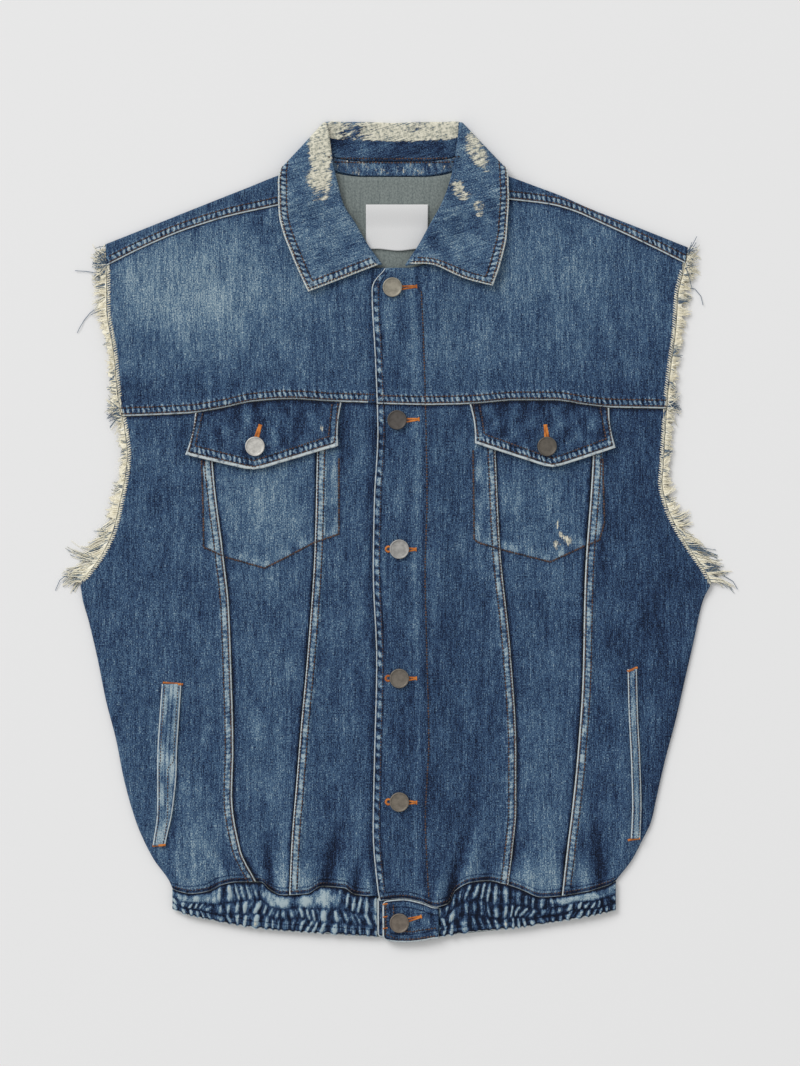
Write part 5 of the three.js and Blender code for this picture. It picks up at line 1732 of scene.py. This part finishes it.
def sewHand(hand):
    sign = fronts[hand]["sign"]
    panels = [kind + "Panel" + hand for kind in panelKinds]
    yoke = "yoke" + hand
    for inset in rowInsets:
        seed = int(inset * 10) + sign
        low, high = (-240, -20) if hand == "Right" else (-15, 233)
        sewRow("rust", pathX(seamY[hand], low, high, inset + 0.2), [yoke], seed)
        sewRow("rust", pathY(xOn("outerSeam" + hand), -306, 112, sign * inset), panels[:1], seed + 2)
        sewRow("rust", pathY(xOn("innerSeam" + hand), -312, 112, -sign * inset), panels[2:], seed + 3)
        low, high = (-250, -70) if hand == "Right" else (64, 249)
        sewRow("rust", pathX(yOn("shoulderSeam" + hand), low, high, inset + 0.2), ["back"], seed + 4)
        sewRow("rust", leafPath(hand, inset + 0.3), ["collarLeaf"], seed + 5)
        sewRow("fleck", leafPath(hand, inset / 4 + 0.2), ["collarLeaf"], seed + 7, turn=0.9, scatter=0.9)
        f = flapCut[hand]
        inset = inset + 0.2
        sides = inset + 1.2
        path = [
            (f["top"][0] + sides, 112), (f["side"][0] + sides, f["low"][0] + inset * 1.05),
            (f["tip"][0], f["tip"][1] + 1.2 + inset * 1.03),
            (f["side"][1] - sides, f["low"][1] + inset * 1.05), (f["top"][1] - sides, 112),
        ]
        sewRow("rust", path, ["flap" + hand], seed + 6)
    outline = pocketRows[hand]
    sewRow("rope", list(zip(outline["x"], outline["y"])), panels, 31 + sign)
    edge = armhole[hand]
    slant = {"turn": 1.15 * sign, "scatter": 0.12}
    for at, high, name in ((-40, 100, panels[0]), (118, 228, yoke)):
        sewRow("ravel", pathY(edge, at, high, -sign * 1.9), [name], 37 + sign + high, **slant)
    low, high = (-193, -22) if hand == "Right" else (-14, 188)
    sewRow("dark", pathX(hemY[hand], low, high, 3.1), panels, 33 + sign)
    w = welts[hand]
    for share in (0.16, 0.84):
        high, low = share * w["width"], share * (w["width"] - w["narrow"] * np.sign(w["width"]))
        x = xOn("welt" + hand)
        places = spread(w["low"] + 2, w["high"] - 2, 6)
        path = [(float(x(y)) + (high if y > -200 else low), y) for y in places]
        sewRow("dark", path, ["welt" + hand], 35 + sign)


def lineFrom(start, end):
    start, end = np.array(start, float), np.array(end, float)
    length = np.hypot(*(end - start))
    along = (end - start) / length
    return start, end, length, along, np.array((-along[1], along[0]))


def sewBar(start, end, wide, names):
    start, end, length, along, across = lineFrom(start, end)
    for at in spread(0, length, threads["bright"]["pitch"]):
        x, y = start + along * at
        sewStitch("bright", x, y, across, names, wide)


# A buttonhole: two close rows of bright thread, apart at the button and together at the end.
def sewButtonhole(start, end, wide, names, stitch=2.0):
    start, end, length, along, across = lineFrom(start, end)
    for at in spread(0, length, threads["bright"]["pitch"]):
        apart = wide * (0.25 + 0.75 * (1 - at / length) ** 0.7)
        for side in (-1, 1):
            x, y = start + along * at + across * side * apart
            sewStitch("bright", x, y, across + along * 0.3 * side, names, stitch)
    sewBar(end - across * 1.4, end + across * 1.4, 1.6, names)


# The round eye at a buttonhole's end, open towards the hole.
def sewEye(x, y, radius, stitch, names):
    for turn in spread(0.35 * math.pi, 1.65 * math.pi, threads["bright"]["pitch"] / radius):
        across = np.array((math.cos(turn), math.sin(turn)))
        px, py = np.array((x, y)) + across * radius
        sewStitch("bright", px, py, across, names, stitch)


for hand in fronts:
    sewHand(hand)
lapPieces = ["yokeLeft", "centrePanelLeft"]
sewRow("rust", pathY(xOn("placketRow"), -316, 211), lapPieces, 51)
sewRow("dark", pathY(xOn("placketEdge"), -312, 222, 5.6), lapPieces, 52)
for y, name in ((325.6, "collarLeaf"), (322.2, "collarStand"), (310.6, "collarStand")):
    sewRow("rust", [(-60, y), (-30, y - 0.5), (-3, y - 0.7), (25, y - 0.5), (54, y)], [name], int(y))
for inset in (2.8, 9.5):
    x = tabCut["Left"]["left"][0] + inset
    sewRow("rust", [(x, -322), (x, -350.5 + inset), (0, -355 + inset),
                    (14, -355 + inset), (34, -352 + inset)], ["tabLeft"], 60 + int(inset))
for start, end in (((-203, -130), (-186, -131.3)), ((-212, -271.5), (-201, -270.5)),
                   ((200, -120), (208.6, -116.8)), ((200.5, -266.5), (210.5, -265))):
    sewBar(start, end, 2.6, ["weltRight", "weltLeft", "sidePanelRight", "sidePanelLeft"])
for y in (-322, -333, -343):
    sewBar((-12, y), (-8.5, y + 0.6), 1.6, ["tabLeft"])
for start, end in (((3, 212.6), (17, 213.8)), ((7, 97.6), (19, 98.6)), ((9, -14.4), (16.5, -14.2)),
                   ((9, -126.4), (16.8, -126)), ((9, -233.4), (17, -233.6)), ((8, -336), (21, -332.5))):
    sewButtonhole(start, end, 1.3, [*lapPieces, "tabLeft"])
for x, y in ((-10.4, -14), (-10.6, -126), (-10.4, -233)):
    sewEye(x + 3.0, y, 2.3, 2.4, lapPieces)
sewButtonhole((-122.5, 80), (-118.5, 93.5), 1.3, ["flapRight"], 2.9)
sewButtonhole((130.2, 80), (128.6, 93.5), 1.3, ["flapLeft"], 2.9)


# One mesh of all stitches of a kind, made in small lots because adding to a large mesh is slow.
def stitchesMesh(kind, matrices):
    parts = []
    for start in range(0, len(matrices), 80):
        bm = bmesh.new()
        for matrix in matrices[start : start + 80]:
            bmesh.ops.create_icosphere(bm, subdivisions=1, radius=1, matrix=matrix)
        parts.append(meshFrom(bm, "part"))
    bm = bmesh.new()
    for part in parts:
        bm.from_mesh(part)
        bpy.data.meshes.remove(part)
    return meshFrom(bm, kind + "Stitches")


for kind, matrices in sewing.items():
    mesh = stitchesMesh(kind, matrices)
    smooth(mesh)
    obj = addObject(kind + "Stitches", mesh)
    mesh.materials.append(materials[threads[kind]["material"]])
    if kind in ("ravel", "fleck"):
        tint = np.zeros((len(mesh.vertices), 3))
        tint[:, 0] = np.repeat(np.random.default_rng(3).uniform(0.5, 1, len(mesh.vertices) // 12), 12)
        writeVectors(mesh, "wearData", tint)
    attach(obj, "root")
print("stitches:", {kind: len(matrices) for kind, matrices in sewing.items()})

# Flat metal buttons with a thin raised rim.
buttonShades = {
    "button_1": (158, 152, 138), "button_2": (92, 87, 83), "button_3": (172, 170, 166),
    "button_4": (122, 115, 106), "button_5": (126, 118, 107), "button_6": (124, 114, 104),
    "flap_button_right": (204, 202, 196), "flap_button_left": (104, 98, 90),
}
buttonProfile = [
    (0.0, 0.0), (0.42, 0.0), (0.42, 0.9), (0.9, 1.3), (0.98, 1.5), (1.0, 1.9), (0.99, 2.5), (0.95, 2.85),
    (0.90, 2.9), (0.86, 2.7), (0.84, 2.35), (0.8, 2.25), (0.45, 2.3), (0.0, 2.35),
]


def buildButton(node):
    low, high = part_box(node)
    centre = [(low[k] + high[k]) / 2 for k in (0, 1)]
    radius = (high[0] - low[0]) / 2
    bm = bmesh.new()
    ring = [bm.verts.new((share * radius, 0, height * mm)) for share, height in buttonProfile]
    edges = [bm.edges.new(pair) for pair in zip(ring, ring[1:])]
    bmesh.ops.spin(bm, geom=ring + edges, cent=(0, 0, 0), axis=(0, 0, 1), angle=2 * math.pi, steps=44,
                   use_merge=True, use_duplicate=False)
    bmesh.ops.remove_doubles(bm, verts=bm.verts, dist=1e-6)
    bmesh.ops.recalc_face_normals(bm, faces=bm.faces)
    bmesh.ops.translate(bm, verts=bm.verts, vec=(*centre, low[2]))
    mesh = meshFrom(bm, node + "Metal")
    smooth(mesh)
    obj = addObject(node + "Metal", mesh)
    mesh.materials.append(makePewter(node + "Pewter", srgb(*buttonShades[node])))
    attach(obj, "root")
    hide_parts(node)
    made[obj.name] = obj


for node in buttonShades:
    buildButton(node)
print("buttons made")

# The stage: a plain pale floor, soft light from the upper left, and the camera straight above.
stage = {
    "floor": srgb(232, 232, 232),
    "key": {"place": (-10.8, 12.0, 13.2), "size": 11, "power": 2560},
    "fill": 0.625,
    "camera": {"x": 0.0026, "y": 0.0, "height": 2.6, "frame": 0.927},
}


def buildStage():
    bm = bmesh.new()
    bmesh.ops.create_grid(bm, x_segments=1, y_segments=1, size=3)
    mesh = meshFrom(bm, "floor")
    floor = addObject("floor", mesh)
    material, shader, _ = startMaterial("floorPaper", {"Roughness": 0.9, "Specular IOR Level": 0.1})
    shader.inputs["Base Color"].default_value = stage["floor"]
    mesh.materials.append(material)
    light = bpy.data.lights.new("key", "AREA")
    light.energy = stage["key"]["power"]
    light.size = stage["key"]["size"]
    key = addObject("key", light)
    key.location = stage["key"]["place"]
    key.rotation_euler = (Vector((0, 0, 0)) - Vector(key.location)).to_track_quat("-Z", "Y").to_euler()
    world = bpy.data.worlds.new("studio")
    world.use_nodes = True
    background = world.node_tree.nodes["Background"]
    background.inputs["Color"].default_value = (1, 1, 1, 1)
    background.inputs["Strength"].default_value = stage["fill"]
    bpy.context.scene.world = world
    bpy.context.scene.view_settings.view_transform = "Standard"
    c = stage["camera"]
    lens = bpy.data.cameras.new("above")
    lens.sensor_fit = "VERTICAL"
    lens.sensor_height = 36
    lens.lens = 36 * c["height"] / c["frame"]
    camera = addObject("above", lens)
    camera.location = (c["x"], c["y"], c["height"])
    bpy.context.scene.camera = camera


buildStage()

# Each finished piece is looked up among the flat sizes measured above.
for name, obj in made.items():
    name in flatSize
print("cloth sheets declared:", len(flatSize))
